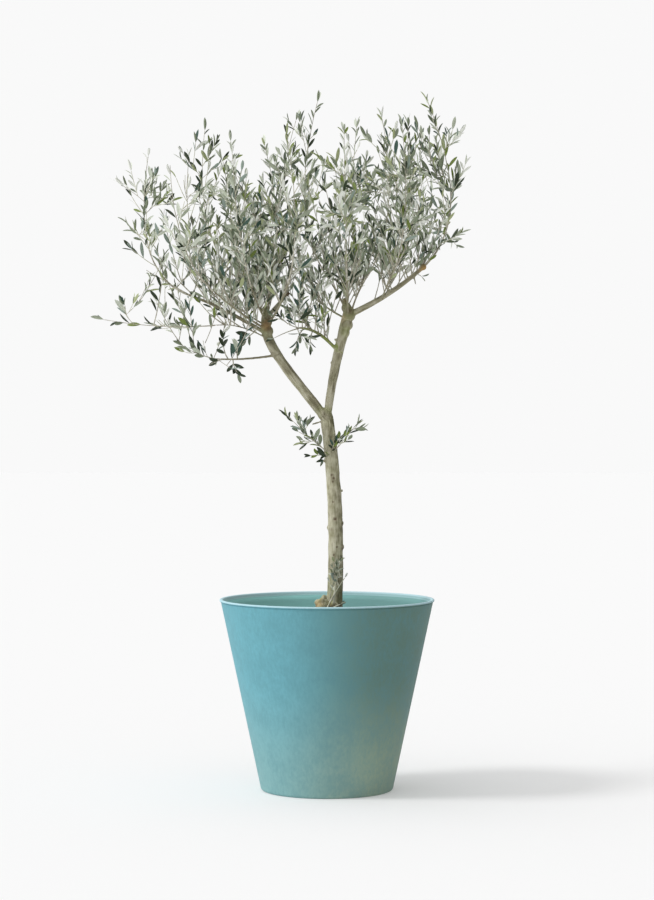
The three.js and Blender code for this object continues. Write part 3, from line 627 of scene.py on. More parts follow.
def newMaterial(name):        # its tree and its shader
    material = bpy.data.materials.new(name)
    material.use_nodes = True
    return material, material.node_tree, material.node_tree.nodes["Principled BSDF"]


def geometryTree(name, sockets):        # a tree with named inputs, and its input node
    tree = bpy.data.node_groups.new(name, "GeometryNodeTree")
    for side in ("INPUT", "OUTPUT"):
        tree.interface.new_socket("Geometry", in_out=side, socket_type="NodeSocketGeometry")
    for socket, kind in sockets.items():
        tree.interface.new_socket(socket, in_out="INPUT", socket_type="NodeSocket" + kind)
    return tree, addNode(tree, "GroupInput")


def newObject(name, data):
    piece = bpy.data.objects.new(name, data)
    bpy.context.scene.collection.objects.link(piece)
    return piece


def plainMesh(carrier, name):        # the carrier with its modifiers applied, as an object of its own
    bpy.context.view_layer.update()
    depsgraph = bpy.context.evaluated_depsgraph_get()
    mesh = bpy.data.meshes.new_from_object(carrier.evaluated_get(depsgraph), depsgraph=depsgraph)
    bpy.data.objects.remove(carrier)
    mesh.name = name
    return newObject(name, mesh)


def applyTree(mesh, tree, values, name):
    carrier = newObject("carrier", mesh)
    modifier = carrier.modifiers.new(tree.name, "NODES")
    modifier.node_group = tree
    for item in tree.interface.items_tree:
        if item.in_out == "INPUT" and item.name in values:
            modifier[item.identifier] = values[item.name]
    return plainMesh(carrier, name)


def meshOf(name, points, edges=(), faces=()):        # points in millimetres
    mesh = bpy.data.meshes.new(name)
    mesh.from_pydata((np.array(points) * mm).tolist(), list(edges), list(faces))
    mesh.shade_smooth()
    return mesh


def addAttribute(mesh, name, kind, values):
    attribute = mesh.attributes.new(name, kind, "POINT")
    field = "vector" if kind == "FLOAT_VECTOR" else "value"
    attribute.data.foreach_set(field, np.asarray(values, bool if kind == "BOOLEAN" else np.float32).ravel())


def readPoints(mesh, field="co"):
    points = np.empty(len(mesh.vertices) * 3, np.float32)
    mesh.vertices.foreach_get(field, points)
    return points.reshape(-1, 3)


def movePoints(mesh, points):        # points in millimetres
    mesh.vertices.foreach_set("co", (points * mm).ravel())
    mesh.update()


def lathe(name, profile, sides):        # a closed solid of revolution, from pole to pole
    turns = np.arange(sides) * 2 * math.pi / sides
    ring = np.stack([np.cos(turns), np.sin(turns)], axis=1)
    inner = profile[1:-1]
    points = [(0, 0, profile[0][1])]
    for radius, height in inner:
        points += [(x * radius, y * radius, height) for x, y in ring]
    points.append((0, 0, profile[-1][1]))
    last, top = len(points) - 1, 1 + (len(inner) - 1) * sides
    faces = []
    for i in range(sides):
        j = (i + 1) % sides
        faces += [(0, 1 + j, 1 + i), (last, top + i, top + j)]
        for a in range(1, top, sides):
            faces.append((a + i, a + j, a + sides + j, a + sides + i))
    return meshOf(name, points, faces=faces)


def alongLines(name, stems):        # every stem an open line, with its thickness at each point
    points = np.concatenate([stem["points"] for stem in stems])
    edges, start = [], 0
    for stem in stems:
        count = len(stem["points"])
        edges += [(start + i, start + i + 1) for i in range(count - 1)]
        start += count
    mesh = meshOf(name, points, edges)
    addAttribute(mesh, "thickness", "FLOAT", np.concatenate([stem["radii"] for stem in stems]) * mm)
    return mesh


# Stems: a round tube along every line, by one tree for limbs, twigs and young shoots.
def makeStemTree():
    tree, group = geometryTree("tubes along stems", {"Sides": "Int", "Knob Detail": "Int", "Wood": "Material"})
    thickness = addNode(tree, "InputNamedAttribute", {"data_type": "FLOAT", "Name": "thickness"})
    lines = addNode(tree, "MeshToCurve", {"Mesh": (group, "Geometry")})
    ring = addNode(tree, "CurvePrimitiveCircle", {"Radius": 1, "Resolution": (group, "Sides")})
    tubes = addNode(tree, "CurveToMesh", {"Fill Caps": True, "Curve": (lines, "Curve"),
        "Profile Curve": (ring, "Curve"), "Scale": (thickness, "Attribute")})
    knobHere = addNode(tree, "InputNamedAttribute", {"data_type": "BOOLEAN", "Name": "knob"})
    ball = addNode(tree, "MeshIcoSphere", {"Radius": 1, "Subdivisions": (group, "Knob Detail")})
    knobs = addNode(tree, "InstanceOnPoints", {"Points": (group, "Geometry"), "Instance": (ball, "Mesh"),
        "Selection": (knobHere, "Attribute"), "Scale": (thickness, "Attribute")})
    together = addNode(tree, "JoinGeometry", {"Geometry": (tubes, "Mesh")})
    setNode(tree, together, {"Geometry": (knobs, "Instances")})
    addRow(tree, (together, 0), ("RealizeInstances", {}), ("SetShadeSmooth", {}),
        ("SetMaterial", {"Material": (group, "Wood")}))
    return tree


stemTree = makeStemTree()

# Bark of a young olive: smooth and grey, finely furrowed along the limb, greenish low down and at knuckles.
barkLook = {
    "colours": [(0.38, "#524c3a"), (0.46, "#7a755f"), (0.53, "#a29d84"), (0.6, "#c2bea6"), (0.7, "#d6d3c1")],
    "thin": "#7e7663",        # greyer on the thin boughs
    "moss": "#84904e",
    "ochre": "#b8935c",        # on burrs
    "heart": "#5b4432",        # dark brown where it was cut
    "blotch": 34, "furrow": 6.5, "grit": 1.1,        # mm across
    # the last value: how much paler the side towards the light is painted, and how much darker the other side,
    # as painted light
    "greying": 0.6, "paintedSideLight": 0.05,
}


def makeBark():
    # matte, so that light rolls softly round the stem and catches the edges of the furrows
    material, tree, shader = newMaterial("olive bark, smooth and finely furrowed")
    own = {name: addNode(tree, "Attribute", {"attribute_name": name})
        for name in ("grain", "weathered", "thin", "moss", "ochre", "heart")}
    place = addNode(tree, "TexCoord")
    blotches = addNode(tree, "TexNoise", {"Scale": 1000 / barkLook["blotch"], "Detail": 3, "Roughness": 0.6,
        "Vector": (place, "Object")})
    furrows = addNode(tree, "TexNoise", {"Scale": 1000 / barkLook["furrow"], "Detail": 4, "Roughness": 0.62,
        "Distortion": 0.4, "Vector": (own["grain"], "Vector")})
    grit = addNode(tree, "TexNoise", {"Scale": 1000 / barkLook["grit"], "Detail": 2,
        "Vector": (place, "Object")})
    # painted light: the bark is painted paler on the side that faces the left, where the light comes from, and
    # darker on the right
    shade = 0.13
    for source, amount in ((furrows, 0.46), (blotches, 0.38), (own["weathered"], barkLook["paintedSideLight"])):
        shade = (addNode(tree, "Math", {"operation": "MULTIPLY_ADD", 0: (source, "Fac"), 1: amount,
            2: shade}), 0)
    colour = (addNode(tree, "ValToRGB", {"stops": barkLook["colours"], "Fac": shade}), "Color")
    for name in ("thin", "moss", "ochre", "heart"):
        colour = (addNode(tree, "Mix", {"data_type": "RGBA", 0: (own[name], "Fac"), 6: colour,
            7: linear(barkLook[name])}), 2)
    fine = addNode(tree, "Bump", {"Strength": 0.5, "Distance": 0.0003, "Height": (grit, "Fac")})
    coarse = addNode(tree, "Bump", {"Strength": 0.5, "Distance": 0.0008, "Height": (furrows, "Fac"),
        "Normal": (fine, "Normal")})
    setNode(tree, shader, {"Base Color": colour, "Normal": (coarse, "Normal"), "Roughness": 0.82,
        "Specular IOR Level": 0.25})
    return material


# step: between a limb's rings; sink: how far the trunk goes into the soil; near: round a knuckle, in radii.
barkShape = {"step": 9, "voxel": 1.9, "sink": 1.5, "furrowDepth": 0.6, "furrowWidth": 6.5, "furrowLength": 48,
    "lumpDepth": 1.3, "lumpWidth": 30, "patch": 21, "lichenHeight": 150, "smoothing": 5, "near": 1.8,
    "thinUnder": 9}

# Burrs on the trunk: height above the floor, direction in degrees, radius, and how far out.
burrs = [(472, 196, 19, 30), (484, 208, 9, 37), (479, 180, 9, 43), (466, 214, 11, 41), (461, 186, 12, 40),
    (491, 189, 8, 28), (464, 256, 12, 19), (476, 264, 7, 23), (472, 282, 8, 21), (462, 302, 8, 20),
    (450, 228, 15, 25), (619, 350, 8.5, 14.5), (640, 345, 7, 13), (668, 185, 7, 15), (680, 12, 7, 15),
    (690, 2, 6, 13.5), (858, 268, 8.5, 12.5), (560, 120, 7, 15), (775, 95, 6.5, 13.5), (905, 60, 6, 13),
    (596, 20, 6, 15)]
# Knuckles where a bough was once cut back: place and radius.
knuckles = [((-154, -2, 1216), 13), ((-153, -5, 1197), 13.5), ((-151, -3, 1174), 14.4), ((-157, 4, 1230), 9.5),
    ((56, 0, 1214), 16.5), ((51, -3, 1190), 15.5), ((44, 0, 1170), 14.5), ((50, 6, 1234), 13.5),
    ((47, 2, 1252), 8), ((246, 5, 1338), 8.5), ((-8, 0, 962), 17)]
# Stubs of twigs that were cut off: the limb, the share of its length, the reach, and the radii.
stubs = [("trunk", 0.74, (-32, -14, 14), (3.2, 2.3)), ("trunk", 0.955, (-38, -12, -12), (2.8, 2)),
    ("right_arm", 0.52, (-5, -3, 34), (2.4, 1.5)), ("right_arm", 0.78, (-13, -4, 46), (2.4, 1.4)),
    ("right_arm", 0.86, (5, -3, -24), (2.4, 1.8)), ("left_bough", 0.97, (58, -20, 66), (5.4, 4.8)),
    ("right_bough", 0.7, (-17, -4, 7), (4, 3.2)), ("right_bough", 0.5, (-14, -4, 4), (3.2, 2.4)),
    ("trunk", 0.6, (22, 8, 9), (4, 3))]
# Brown wood shows at old cuts and on burrs: place, reach and how strong.
heartPlaces = [((-153, -14, 1196), 16, 0.75), ((-150, -14, 1180), 12, 0.6), ((-96, -22, 1270), 14, 0.9),
    ((60, -14, 1226), 12, 0.5), ((48, -8, 1252), 12, 0.6), ((248, -2, 1340), 13, 0.3),
    ((-34, -12, 472), 8, 0.9), ((-14, -26, 468), 6, 0.8),
    ((14, -22, 468), 12, 0.9), ((-24, -22, 484), 5, 0.6), ((32, -14, 472), 8, 0.7),
    ((43, -2, 680), 7, 0.7), ((44, 2, 690), 6, 0.8), ((12, -13, 668), 5, 0.5), ((40, -6, 619), 8, 0.7)]
ochrePlaces = [((-26, -20, 476), 17, 0.5), ((-155, -14, 1188), 13, 0.55), ((252, -4, 1332), 16, 0.9),
    ((10, -20, 470), 10, 0.4), ((40, -4, 1206), 12, 0.3)]
mossyLimbs = {"cross_bough": 0.7, "centre_rear_bough": 0.2}
# Round scars of cut shoots on the trunk: height, direction, radius and depth, dark in the middle.
scars = [(691, 270, 5, 2), (804, 261, 4, 1.3), (796, 276, 4, 1.3), (787, 266, 3, 1), (735, 258, 3, 0.7),
    (620, 280, 3.5, 1), (600, 255, 3.5, 1)]
limbPoints = []        # centre, radius, direction, length so far and limb, for the relief


def limbLine(name):
    path = limbs[name]["path"]
    count = max(6, int(path["length"] / barkShape["step"]))
    t = np.linspace(0, 1, count + 1)
    points, radii = onPath(path, t), limbs[name]["radiusAt"](t)
    if name in sideBoughs:
        radii = radii * slimness.get(name, usualSlimness)
    steps = np.concatenate([[0], np.cumsum(np.linalg.norm(np.diff(points, axis=0), axis=1))])
    limbPoints.extend(zip(points, radii, directionOn(path, t), steps, [name] * (count + 1)))
    if name == "trunk":
        points = np.vstack([points[0] - [0, 0, barkShape["sink"]], points])
        radii = np.append(radii[0], radii)
        # it closes in under the fork
        radii[-3:] *= (0.97, 0.86, 0.6)
    return {"points": points, "radii": radii}


def onTrunk(height, around):        # share of its height, point on its axis, and level direction
    share = (height - trunk["base"][2]) / (trunk["fork"][2] - trunk["base"][2])
    turn = math.radians(around)
    return share, onPath(limbs["trunk"]["path"], share), vec((math.cos(turn), math.sin(turn), 0))


def makeLimbs():
    lines = [limbLine(name) for name in limbs]
    for name, share, reach, radii in stubs:
        foot = pointAt(limbs[name]["path"], share)
        lines.append({"points": vec((foot, foot + vec(reach))), "radii": vec(radii)})
    knobs = [(vec(place), radius) for place, radius in knuckles]
    for height, around, radius, out in burrs:
        _, centre, away = onTrunk(height, around)
        knobs.append((centre + away * out, radius))
    lines += [{"points": centre[None], "radii": vec((radius,))} for centre, radius in knobs]
    mesh = alongLines("limbs", lines)
    count = len(mesh.vertices)
    addAttribute(mesh, "knob", "BOOLEAN", np.arange(count) >= count - len(knobs))
    solid = applyTree(mesh, stemTree, {"Sides": 20, "Knob Detail": 3}, "limbs")
    union = solid.modifiers.new("one skin", "REMESH")
    union.mode = "VOXEL"
    union.voxel_size = barkShape["voxel"] * mm
    union.use_smooth_shade = True
    soft = solid.modifiers.new("soft forks", "SMOOTH")
    soft.factor = 0.5
    soft.iterations = barkShape["smoothing"]
    return plainMesh(solid, "bark_of_trunk_and_boughs")


def addRelief(mesh):        # furrows along the limb, lumps, and the places of moss and of bare heartwood
    b, tree = barkShape, kdtree.KDTree(len(limbPoints))
    for i, sample in enumerate(limbPoints):
        tree.insert(sample[0], i)
    tree.balance()
    points, normals = (readPoints(mesh) / mm).astype(float), readPoints(mesh, "normal")
    grain = np.zeros((len(points), 3))
    moss, heart, ochre, thin = np.zeros((4, len(points)))
    for i, point in enumerate(points):
        centre, radius, tangent, reached, name = limbPoints[tree.find(point)[1]]
        off = point - centre
        ahead = off @ tangent
        across = off - tangent * ahead
        along = tangent * (reached + ahead) * b["furrowWidth"] / b["furrowLength"]
        grain[i] = (across + along) * mm
        furrow = noise.noise(Vector((across + along) / b["furrowWidth"]))
        lump = noise.noise(Vector(point / b["lumpWidth"]))
        share = min(1, radius / trunk["radii"][1])
        points[i] += normals[i] * (share * (furrow * b["furrowDepth"] + lump * b["lumpDepth"]))
        patch = noise.noise(Vector(point / b["patch"])) * 0.5 + 0.5
        # lichen on the trunk's foot, most of it on the left
        low = max(0, 1 - (point[2] - soilLevel) / b["lichenHeight"]) * (0.6 - 0.4 * normals[i][0])
        near = min(np.linalg.norm(point - vec(place)) / size for place, size in knuckles)
        damp = 0.1 + 0.8 * low * (name == "trunk") + 0.35 * max(0, b["near"] - near) + mossyLimbs.get(name, 0)
        moss[i] = min(1, max(0, damp) * max(0, patch * 2.2 - 0.5))
        if name not in mossyLimbs:
            grey = max(0.35 * (name in mainBoughs), (b["thinUnder"] - radius) / 4)
            thin[i] = barkLook["greying"] * min(1, grey)
    for height, around, size, depth in scars:
        share, centre, out = onTrunk(height, around)
        near = np.linalg.norm(points - centre - out * float(trunkRadius(share)), axis=1) / size
        ring = np.exp(-((near - 1.1) / 0.35) ** 2) * 0.7 - np.exp(-(near / 0.7) ** 2)
        points += normals * (ring * depth)[:, None]
        heart = np.maximum(heart, np.clip(1.15 - near, 0, 1))
    for amounts, places, edge in ((heart, heartPlaces, 1.2), (ochre, ochrePlaces, 1.4)):
        for place, size, amount in places:
            near = np.linalg.norm(points - vec(place), axis=1) / size
            amounts[:] = np.maximum(amounts, np.clip(edge - near, 0, 1) * amount)
    movePoints(mesh, points)
    addAttribute(mesh, "grain", "FLOAT_VECTOR", grain)
    # painted light: how far each point turns to the left, where the light comes from, for the bark's painted
    # paler side
    amounts = dict(ochre=ochre, moss=moss, heart=heart, thin=thin, weathered=-normals[:, 0])
    for name, values in amounts.items():
        addAttribute(mesh, name, "FLOAT", values)


bark = makeLimbs()
addRelief(bark.data)
bark.data.materials.clear()
bark.data.materials.append(makeBark())
print("bark,", len(bark.data.polygons), "faces")

# Twigs and young shoots: the name of the skin, its two tones, and how many sides a tube has.
twigLooks = {
    "twigs": ("olive twig, dry and pinkish grey", "#97917f", "#cfccbc", 7),
    "young_shoots": ("young olive shoot, pale and downy", "#bcbda2", "#e4e2cf", 5),
}
lenticels = 9        # mm between them


def makeTwigs(name, young):
    skin, dark, pale, sides = twigLooks[name]
    # thin dry skin with faint lenticels: a soft grain along the twig in place of one flat tone
    material, tree, shader = newMaterial(skin)
    spots = addNode(tree, "TexNoise", {"Scale": 1000 / lenticels, "Detail": 2,
        "Vector": (addNode(tree, "TexCoord"), "Object")})
    colour = addNode(tree, "ValToRGB", {"stops": [(0.35, dark), (0.65, pale)], "Fac": (spots, "Fac")})
    setNode(tree, shader, {"Base Color": (colour, "Color"), "Roughness": 0.7, "Specular IOR Level": 0.3})
    lines = alongLines("lines", [stem for stem in stems if stem["young"] == young])
    return applyTree(lines, stemTree, {"Sides": sides, "Knob Detail": 1, "Wood": material}, name)


woodyTwigs, youngShoots = makeTwigs("twigs", False), makeTwigs("young_shoots", True)
print("twigs,", len(woodyTwigs.data.polygons) + len(youngShoots.data.polygons), "faces")

# Leaves: one small lance-shaped solid, made by a tree, on every bud. Fold: how steep its halves stand.
leafShape = {"Length": leafHabit["length"] * mm, "Width": leafHabit["width"] * mm, "Thickness": 0.6 * mm,
    "Fold": 0.36, "Bow": 0.09, "Crowding": 1.2, "Segments": 7}
leafOutline = [(0, 0), (0.07, 0.16), (0.18, 0.5), (0.32, 0.84), (0.5, 1), (0.66, 0.96), (0.84, 0.68), (1, 0)]
crispAngle = 0.6
# Sums on a tube's points: the rings crowd towards the stalk, and its ends close to an edge.
leafSums = [("share", "ADD", "Z", 0.5), ("along", "POWER", "share", "Crowding"),
    ("half", "MULTIPLY", "Width", 0.5), ("out", "MULTIPLY", "X", "outline"),
    ("side", "MULTIPLY", "out", "half"), ("steep", "MULTIPLY", "outline", 6), ("flat", "MINIMUM", "steep", 1),
    ("deep", "MULTIPLY", "Y", "flat"), ("thin", "MULTIPLY", "Thickness", 0.5),
    ("flesh", "MULTIPLY", "deep", "thin"), ("off", "ABSOLUTE", "side"), ("fold", "MULTIPLY", "off", "Fold"),
    ("sag", "MULTIPLY", "Bow", "Length"), ("square", "MULTIPLY", "along", "along"),
    ("bow", "MULTIPLY", "sag", "square"), ("lifted", "ADD", "flesh", "fold"),
    ("up", "SUBTRACT", "lifted", "bow"),
    ("far", "MULTIPLY", "along", "Length")]


def makeLeafTree():
    tree, group = geometryTree("leaves on buds", {**{name: "Float" for name in leafShape}, "Segments": "Int",
        "Upper": "Material", "Under": "Material"})
    tube = addNode(tree, "MeshCylinder", {"fill_type": "NONE", "Vertices": 4, "Radius": 1, "Depth": 1,
        "Side Segments": (group, "Segments")})
    parts = addNode(tree, "SeparateXYZ", {"Vector": (addNode(tree, "InputPosition"), "Position")})
    outline = addNode(tree, "FloatCurve")
    curve = outline.mapping.curves[0]
    for spot in leafOutline[1:-1]:
        curve.points.new(*spot)
    curve.points[0].location, curve.points[-1].location = leafOutline[0], leafOutline[-1]
    outline.mapping.update()
    known = {**{name: (group, name) for name in leafShape}, **{axis: (parts, axis) for axis in "XYZ"},
        "outline": (outline, "Value")}
    for name, operation, *terms in leafSums:
        terms = {i: known.get(term, term) for i, term in enumerate(terms)}
        known[name] = (addNode(tree, "Math", {"operation": operation, **terms}), 0)
    setNode(tree, outline, {"Value": known["along"]})
    shaped = addNode(tree, "CombineXYZ", {"X": known["side"], "Y": known["up"], "Z": known["far"]})
    bent = addNode(tree, "SetPosition", {"Geometry": (tube, "Mesh"), "Position": (shaped, "Vector")})
    closed = addNode(tree, "MergeByDistance", {"Distance": 0.00001, "Geometry": (bent, "Geometry")})
    facing = addNode(tree, "SeparateXYZ", {"Vector": (addNode(tree, "InputNormal"), "Normal")})
    below = addNode(tree, "Math", {"operation": "LESS_THAN", 0: (facing, "Y"), 1: 0})
    marked = addNode(tree, "StoreNamedAttribute", {"data_type": "BOOLEAN", "domain": "FACE", "Name": "under",
        "Geometry": (closed, "Geometry"), "Value": (below, 0)})
    smooth = addNode(tree, "SetShadeSmooth", {"Geometry": (marked, "Geometry")})
    sharp = addNode(tree, "Math", {"operation": "GREATER_THAN",
        0: (addNode(tree, "InputMeshEdgeAngle"), "Unsigned Angle"), 1: crispAngle})
    crisp = addNode(tree, "SetShadeSmooth", {"domain": "EDGE", "Shade Smooth": False,
        "Geometry": (smooth, "Geometry"), "Selection": (sharp, 0)})
    aim, size, under = [addNode(tree, "InputNamedAttribute", {"data_type": kind, "Name": name})
        for name, kind in (("aim", "QUATERNION"), ("size", "FLOAT_VECTOR"), ("under", "BOOLEAN"))]
    addRow(tree, (group, "Geometry"), ("InstanceOnPoints", {"Instance": (crisp, "Geometry"),
        "Rotation": (aim, "Attribute"), "Scale": (size, "Attribute")}), ("RealizeInstances", {}),
        ("SetMaterial", {"Material": (group, "Upper")}),
        ("SetMaterial", {"Selection": (under, "Attribute"), "Material": (group, "Under")}))
    return tree


# Tints from dark to pale: upper side, underside, and how many shares it gets low down and at the top. The pale
# tint and its larger share low down are partly the leaves' own paleness and partly painted light that lifts the
# shade within the crown.
leafTints = {
    "deep": ("#33402a", "#858f77", 5.4, 6), "blue": ("#435e52", "#93a297", 2.4, 1),
    "grey": ("#65705a", "#a8b09b", 2, 2.8), "fresh": ("#76873f", "#adb68a", 1.5, 2.9),
    "sage": ("#959f87", "#c0c7b4", 1.8, 2), "pale": ("#dce2d2", "#f0f2ea", 6.4, 4.4),
}
# Heights in mm; asSpray: the share of leaves that take their spray's tint; how they vary in width and flesh.
tinting = {"low": 1180, "high": 1640, "asSpray": 0.5, "seed": 4177, "widths": 0.14, "flesh": 0.7}
# The upper side is leathery with a soft gloss, silvery scales make the underside paler and matte.
leafSides = {"Upper": ("olive leaf, leathery, ", 0.5, 0.35),
    "Under": ("olive leaf, silvery underside, ", 0.75, 0.3)}


def makeLeaves():
    leafTree, draw = makeLeafTree(), seeded(tinting["seed"])
    dealt = {tint: [] for tint in leafTints}
    for leaf in leaves:
        height = (leaf["root"][2] - tinting["low"]) / (tinting["high"] - tinting["low"])
        high = min(1, max(0, height))
        shares = np.cumsum([low + (top - low) * high for _, _, low, top in leafTints.values()])
        chance = (leaf["tint"] if draw() < tinting["asSpray"] else draw()) * leaf["dark"]
        i = int(np.searchsorted(shares / shares[-1], chance, side="right"))
        dealt[list(leafTints)[min(i, len(leafTints) - 1)]].append(leaf)
    pieces = []
    for tint, own in dealt.items():
        mesh = meshOf("buds", [leaf["root"] for leaf in own])
        aims, sizes, values = [], [], dict(leafShape)
        for leaf in own:
            along, upper = unit(leaf["along"]), unit(leaf["upper"])
            aims.append(Matrix([np.cross(upper, along), upper, along]).transposed().to_quaternion())
            width = leaf["scale"] * spread(draw, tinting["widths"]) * leaf["wide"]
            sizes.append((width, spread(draw, tinting["flesh"]), leaf["scale"]))
        addAttribute(mesh, "aim", "QUATERNION", aims)
        addAttribute(mesh, "size", "FLOAT_VECTOR", sizes)
        for (side, (name, roughness, specular)), hexColour in zip(leafSides.items(), leafTints[tint]):
            values[side], tree, shader = newMaterial(name + tint)
            setNode(tree, shader, {"Base Color": linear(hexColour), "Roughness": roughness,
                "Specular IOR Level": specular})
        pieces.append(applyTree(mesh, leafTree, values, "leaves_" + tint))
    return pieces


leafPieces = makeLeaves()
print("leaves,", len(leaves), "in", sum(len(piece.data.polygons) for piece in leafPieces), "faces")

# Planter: moulded stone-like resin, a tapered shell with a thin bead round its rim.
planter = {"rim": 273, "base": 168.5, "height": 489, "wall": 8.18, "floor": 12, "foot": 9, "sides": 288,
    "bead": 2, "beadHeight": 6, "groove": 1.1, "band": 10, "ledge": 1.4}


def wallAt(z):        # the outer radius at a height
    return planter["base"] + (planter["rim"] - planter["base"]) * z / planter["height"]


def insideAt(z):
    return wallAt(z) - planter["wall"]


def makePlanter():
    p = planter
    top, foot, floor = p["height"], p["foot"], p["floor"]
    edge, low, half = top - p["beadHeight"], top - p["band"], p["beadHeight"] / 2
    profile = [(0, 0), (60, 0), (120, 0)]
    # the foot is rounded, and the wall runs up straight
    profile += [(wallAt(foot) - foot + foot * math.sin(a), foot * (1 - math.cos(a)))
        for a in map(math.radians, range(0, 91, 15))]
    profile += [(wallAt(z), z) for z in (*range(30, 475, 20), edge - 3, edge - 1.2)]
    profile += [(wallAt(edge) - p["groove"], edge - 0.4), (wallAt(edge) - p["groove"] + 0.1, edge + 0.2)]
    # the bead is a half round, and its inner edge is softened
    profile += [(p["rim"] - 1 + (p["bead"] + 1) * math.cos(a), edge + half + half * math.sin(a))
        for a in map(math.radians, range(-60, 91, 15))]
    inner = insideAt(top) + p["ledge"]
    profile += [(inner + 2.4, top - 0.1), (inner + 1, top - 0.6), (inner + 0.2, top - 1.8)]
    profile += [(insideAt(z) + p["ledge"], z) for z in (top - 4, top - 6, low + 1.2)]
    profile += [(insideAt(low) + p["ledge"] - 0.5, low), (insideAt(low) + 0.6, low - 1.6)]
    profile += [(insideAt(z), z) for z in (low - p["ledge"] - 1, low - 12, low - 30, 400, 300, 200, 100, 30)]
    profile += [(insideAt(floor + 6), floor + 6), (insideAt(floor) - 5, floor), (80, floor), (0, floor)]
    mesh = lathe("planter", profile, p["sides"])
    points = readPoints(mesh) / mm
    radii = np.linalg.norm(points[:, :2], axis=1)
    inside = (radii < wallAt(points[:, 2]) - p["wall"] / 2) & (points[:, 2] > 10)
    addAttribute(mesh, "inside", "FLOAT", inside)
    return newObject("planter", mesh)


# Each part's tone on the left and on the right; the fading places in metres; the patterns' sizes in mm.
planterLook = {
    # wall, darker and greener on the right: partly the finish's own hue, partly painted shade away from the
    # key; low, paler towards the foot and most on the right: painted bounce light from the floor
    "wall": ("#6caebb", "#5d7f76"), "low": ("#90b1a9", "#b4c4a8"),
    # inside and band: painted paler than the wall to lift the shade within the rim, most on the left, where the
    # key leaves it in shadow; the band under the rim is a painted highlight
    "inside": ("#a5e8e5", "#7aadab"), "band": ("#c4f2f6", "#a6d2d6"),
    # dark: the mottle's blotches; the second tone is a painted highlight along the bead's top, painted over the
    # span on the next line, in mm above the bead's edge
    "dark": "#588c96", "paintedBeadHighlight": "#c2e3eb",
    "fade": (-0.135, 0.155), "fadeDown": (0.33, 0.0), "lowShare": 0.58, "beadHighlightSpan": (1.4, 3.6),
    "cloud": 60,        # soft cloudy patches
    "mottle": 7,        # blotches of the stone-like finish
    "grit": 1.6,        # finer in life, drawn so that it shows
}


def makePlanterSkin():
    # stone-filled resin, cast and rubbed down: no gloss, faint clouds and a fine grit that breaks up the light
    p = planterLook
    material, tree, shader = newMaterial("stone-filled resin, cast and rubbed matte")
    place = addNode(tree, "TexCoord")
    parts = addNode(tree, "SeparateXYZ", {"Vector": (place, "Object")})
    # the blotches run a little down the wall, as it was rubbed
    drawn = addNode(tree, "VectorMath", {"operation": "MULTIPLY", 0: (place, "Object"), 1: (1, 1, 0.45)})
    clouds, mottle, grit = [addNode(tree, "TexNoise", {"Scale": 1000 / p[name], "Detail": detail,
        "Roughness": roughness, "Vector": source}) for name, detail, roughness, source in (
        ("cloud", 4, 0.55, (place, "Object")), ("mottle", 4, 0.7, (drawn, 0)),
        ("grit", 2, 0.5, (place, "Object")))]
    high, edge = (planter["height"] - planter["band"]) * mm, (planter["height"] - planter["beadHeight"]) * mm
    # across and down place the painted shade and bounce light, banded the band under the rim, and rubbed the
    # bead's painted highlight
    across, down, banded, rubbed = [addNode(tree, "MapRange", {"interpolation_type": kind, "From Min": low,
        "From Max": top, "To Max": most, "Value": (parts, axis)}) for kind, axis, low, top, most in (
        ("SMOOTHSTEP", "X", *p["fade"], 1), ("SMOOTHSTEP", "Z", *p["fadeDown"], 1),
        ("LINEAR", "Z", high, high + mm, 1),
        ("LINEAR", "Z", edge + p["beadHighlightSpan"][0] * mm, edge + p["beadHighlightSpan"][1] * mm, 0.8))]
    # painted bounce light: the wall turns to the low tone towards the foot, paler most on the right
    lower = addNode(tree, "Math", {"operation": "MULTIPLY", 0: (down, "Result"), 1: p["lowShare"]})
    some = addNode(tree, "Math", {"operation": "MULTIPLY_ADD", 0: (mottle, "Fac"), 1: 0.6, 2: -0.045})
    both = addNode(tree, "Math", {"operation": "MULTIPLY_ADD", 0: (clouds, "Fac"), 1: 0.5, 2: (some, 0)})
    amount = addNode(tree, "MapRange", {"From Min": 0.4, "From Max": 0.62, "To Max": 0.4, "Value": (both, 0)})
    inside = addNode(tree, "Attribute", {"attribute_name": "inside"})
    tones = {"dark": linear(p["dark"]), "paintedBeadHighlight": linear(p["paintedBeadHighlight"])}
    # each part's tone runs from its left value to its right one across the pot, carrying the painted light and
    # shade that the table gives
    for part in ("wall", "low", "inside", "band"):
        tones[part] = (addNode(tree, "Mix", {"data_type": "RGBA", 0: (across, "Result"), 6: linear(p[part][0]),
            7: linear(p[part][1])}), 2)
    # the wall turns paler and greener towards the foot, painted bounce light from the floor; inside is painted
    # paler to lift its shade, and paler still in a band under the rim, a painted highlight; the bead's top
    # carries a painted highlight
    for name, under, share, over in (("wallWithBounceLight", "wall", (lower, 0), "low"),
            ("mottled", "wallWithBounceLight", (amount, "Result"), "dark"), ("within", "inside", (banded, "Result"), "band"),
            ("lined", "mottled", (inside, "Fac"), "within"), ("whole", "lined", (rubbed, "Result"), "paintedBeadHighlight")):
        tones[name] = (addNode(tree, "Mix", {"data_type": "RGBA", 0: share, 6: tones[under],
            7: tones[over]}), 2)
    fine = addNode(tree, "Bump", {"Strength": 0.35, "Distance": 0.0003, "Height": (grit, "Fac")})
    soft = addNode(tree, "Bump", {"Strength": 0.25, "Distance": 0.001, "Height": (mottle, "Fac"),
        "Normal": (fine, "Normal")})
    setNode(tree, shader, {"Base Color": tones["whole"], "Normal": (soft, "Normal"), "Roughness": 0.62,
        "Specular IOR Level": 0.35})
    return material


pot = makePlanter()
pot.data.materials.append(makePlanterSkin())
print("planter,", len(pot.data.polygons), "faces")

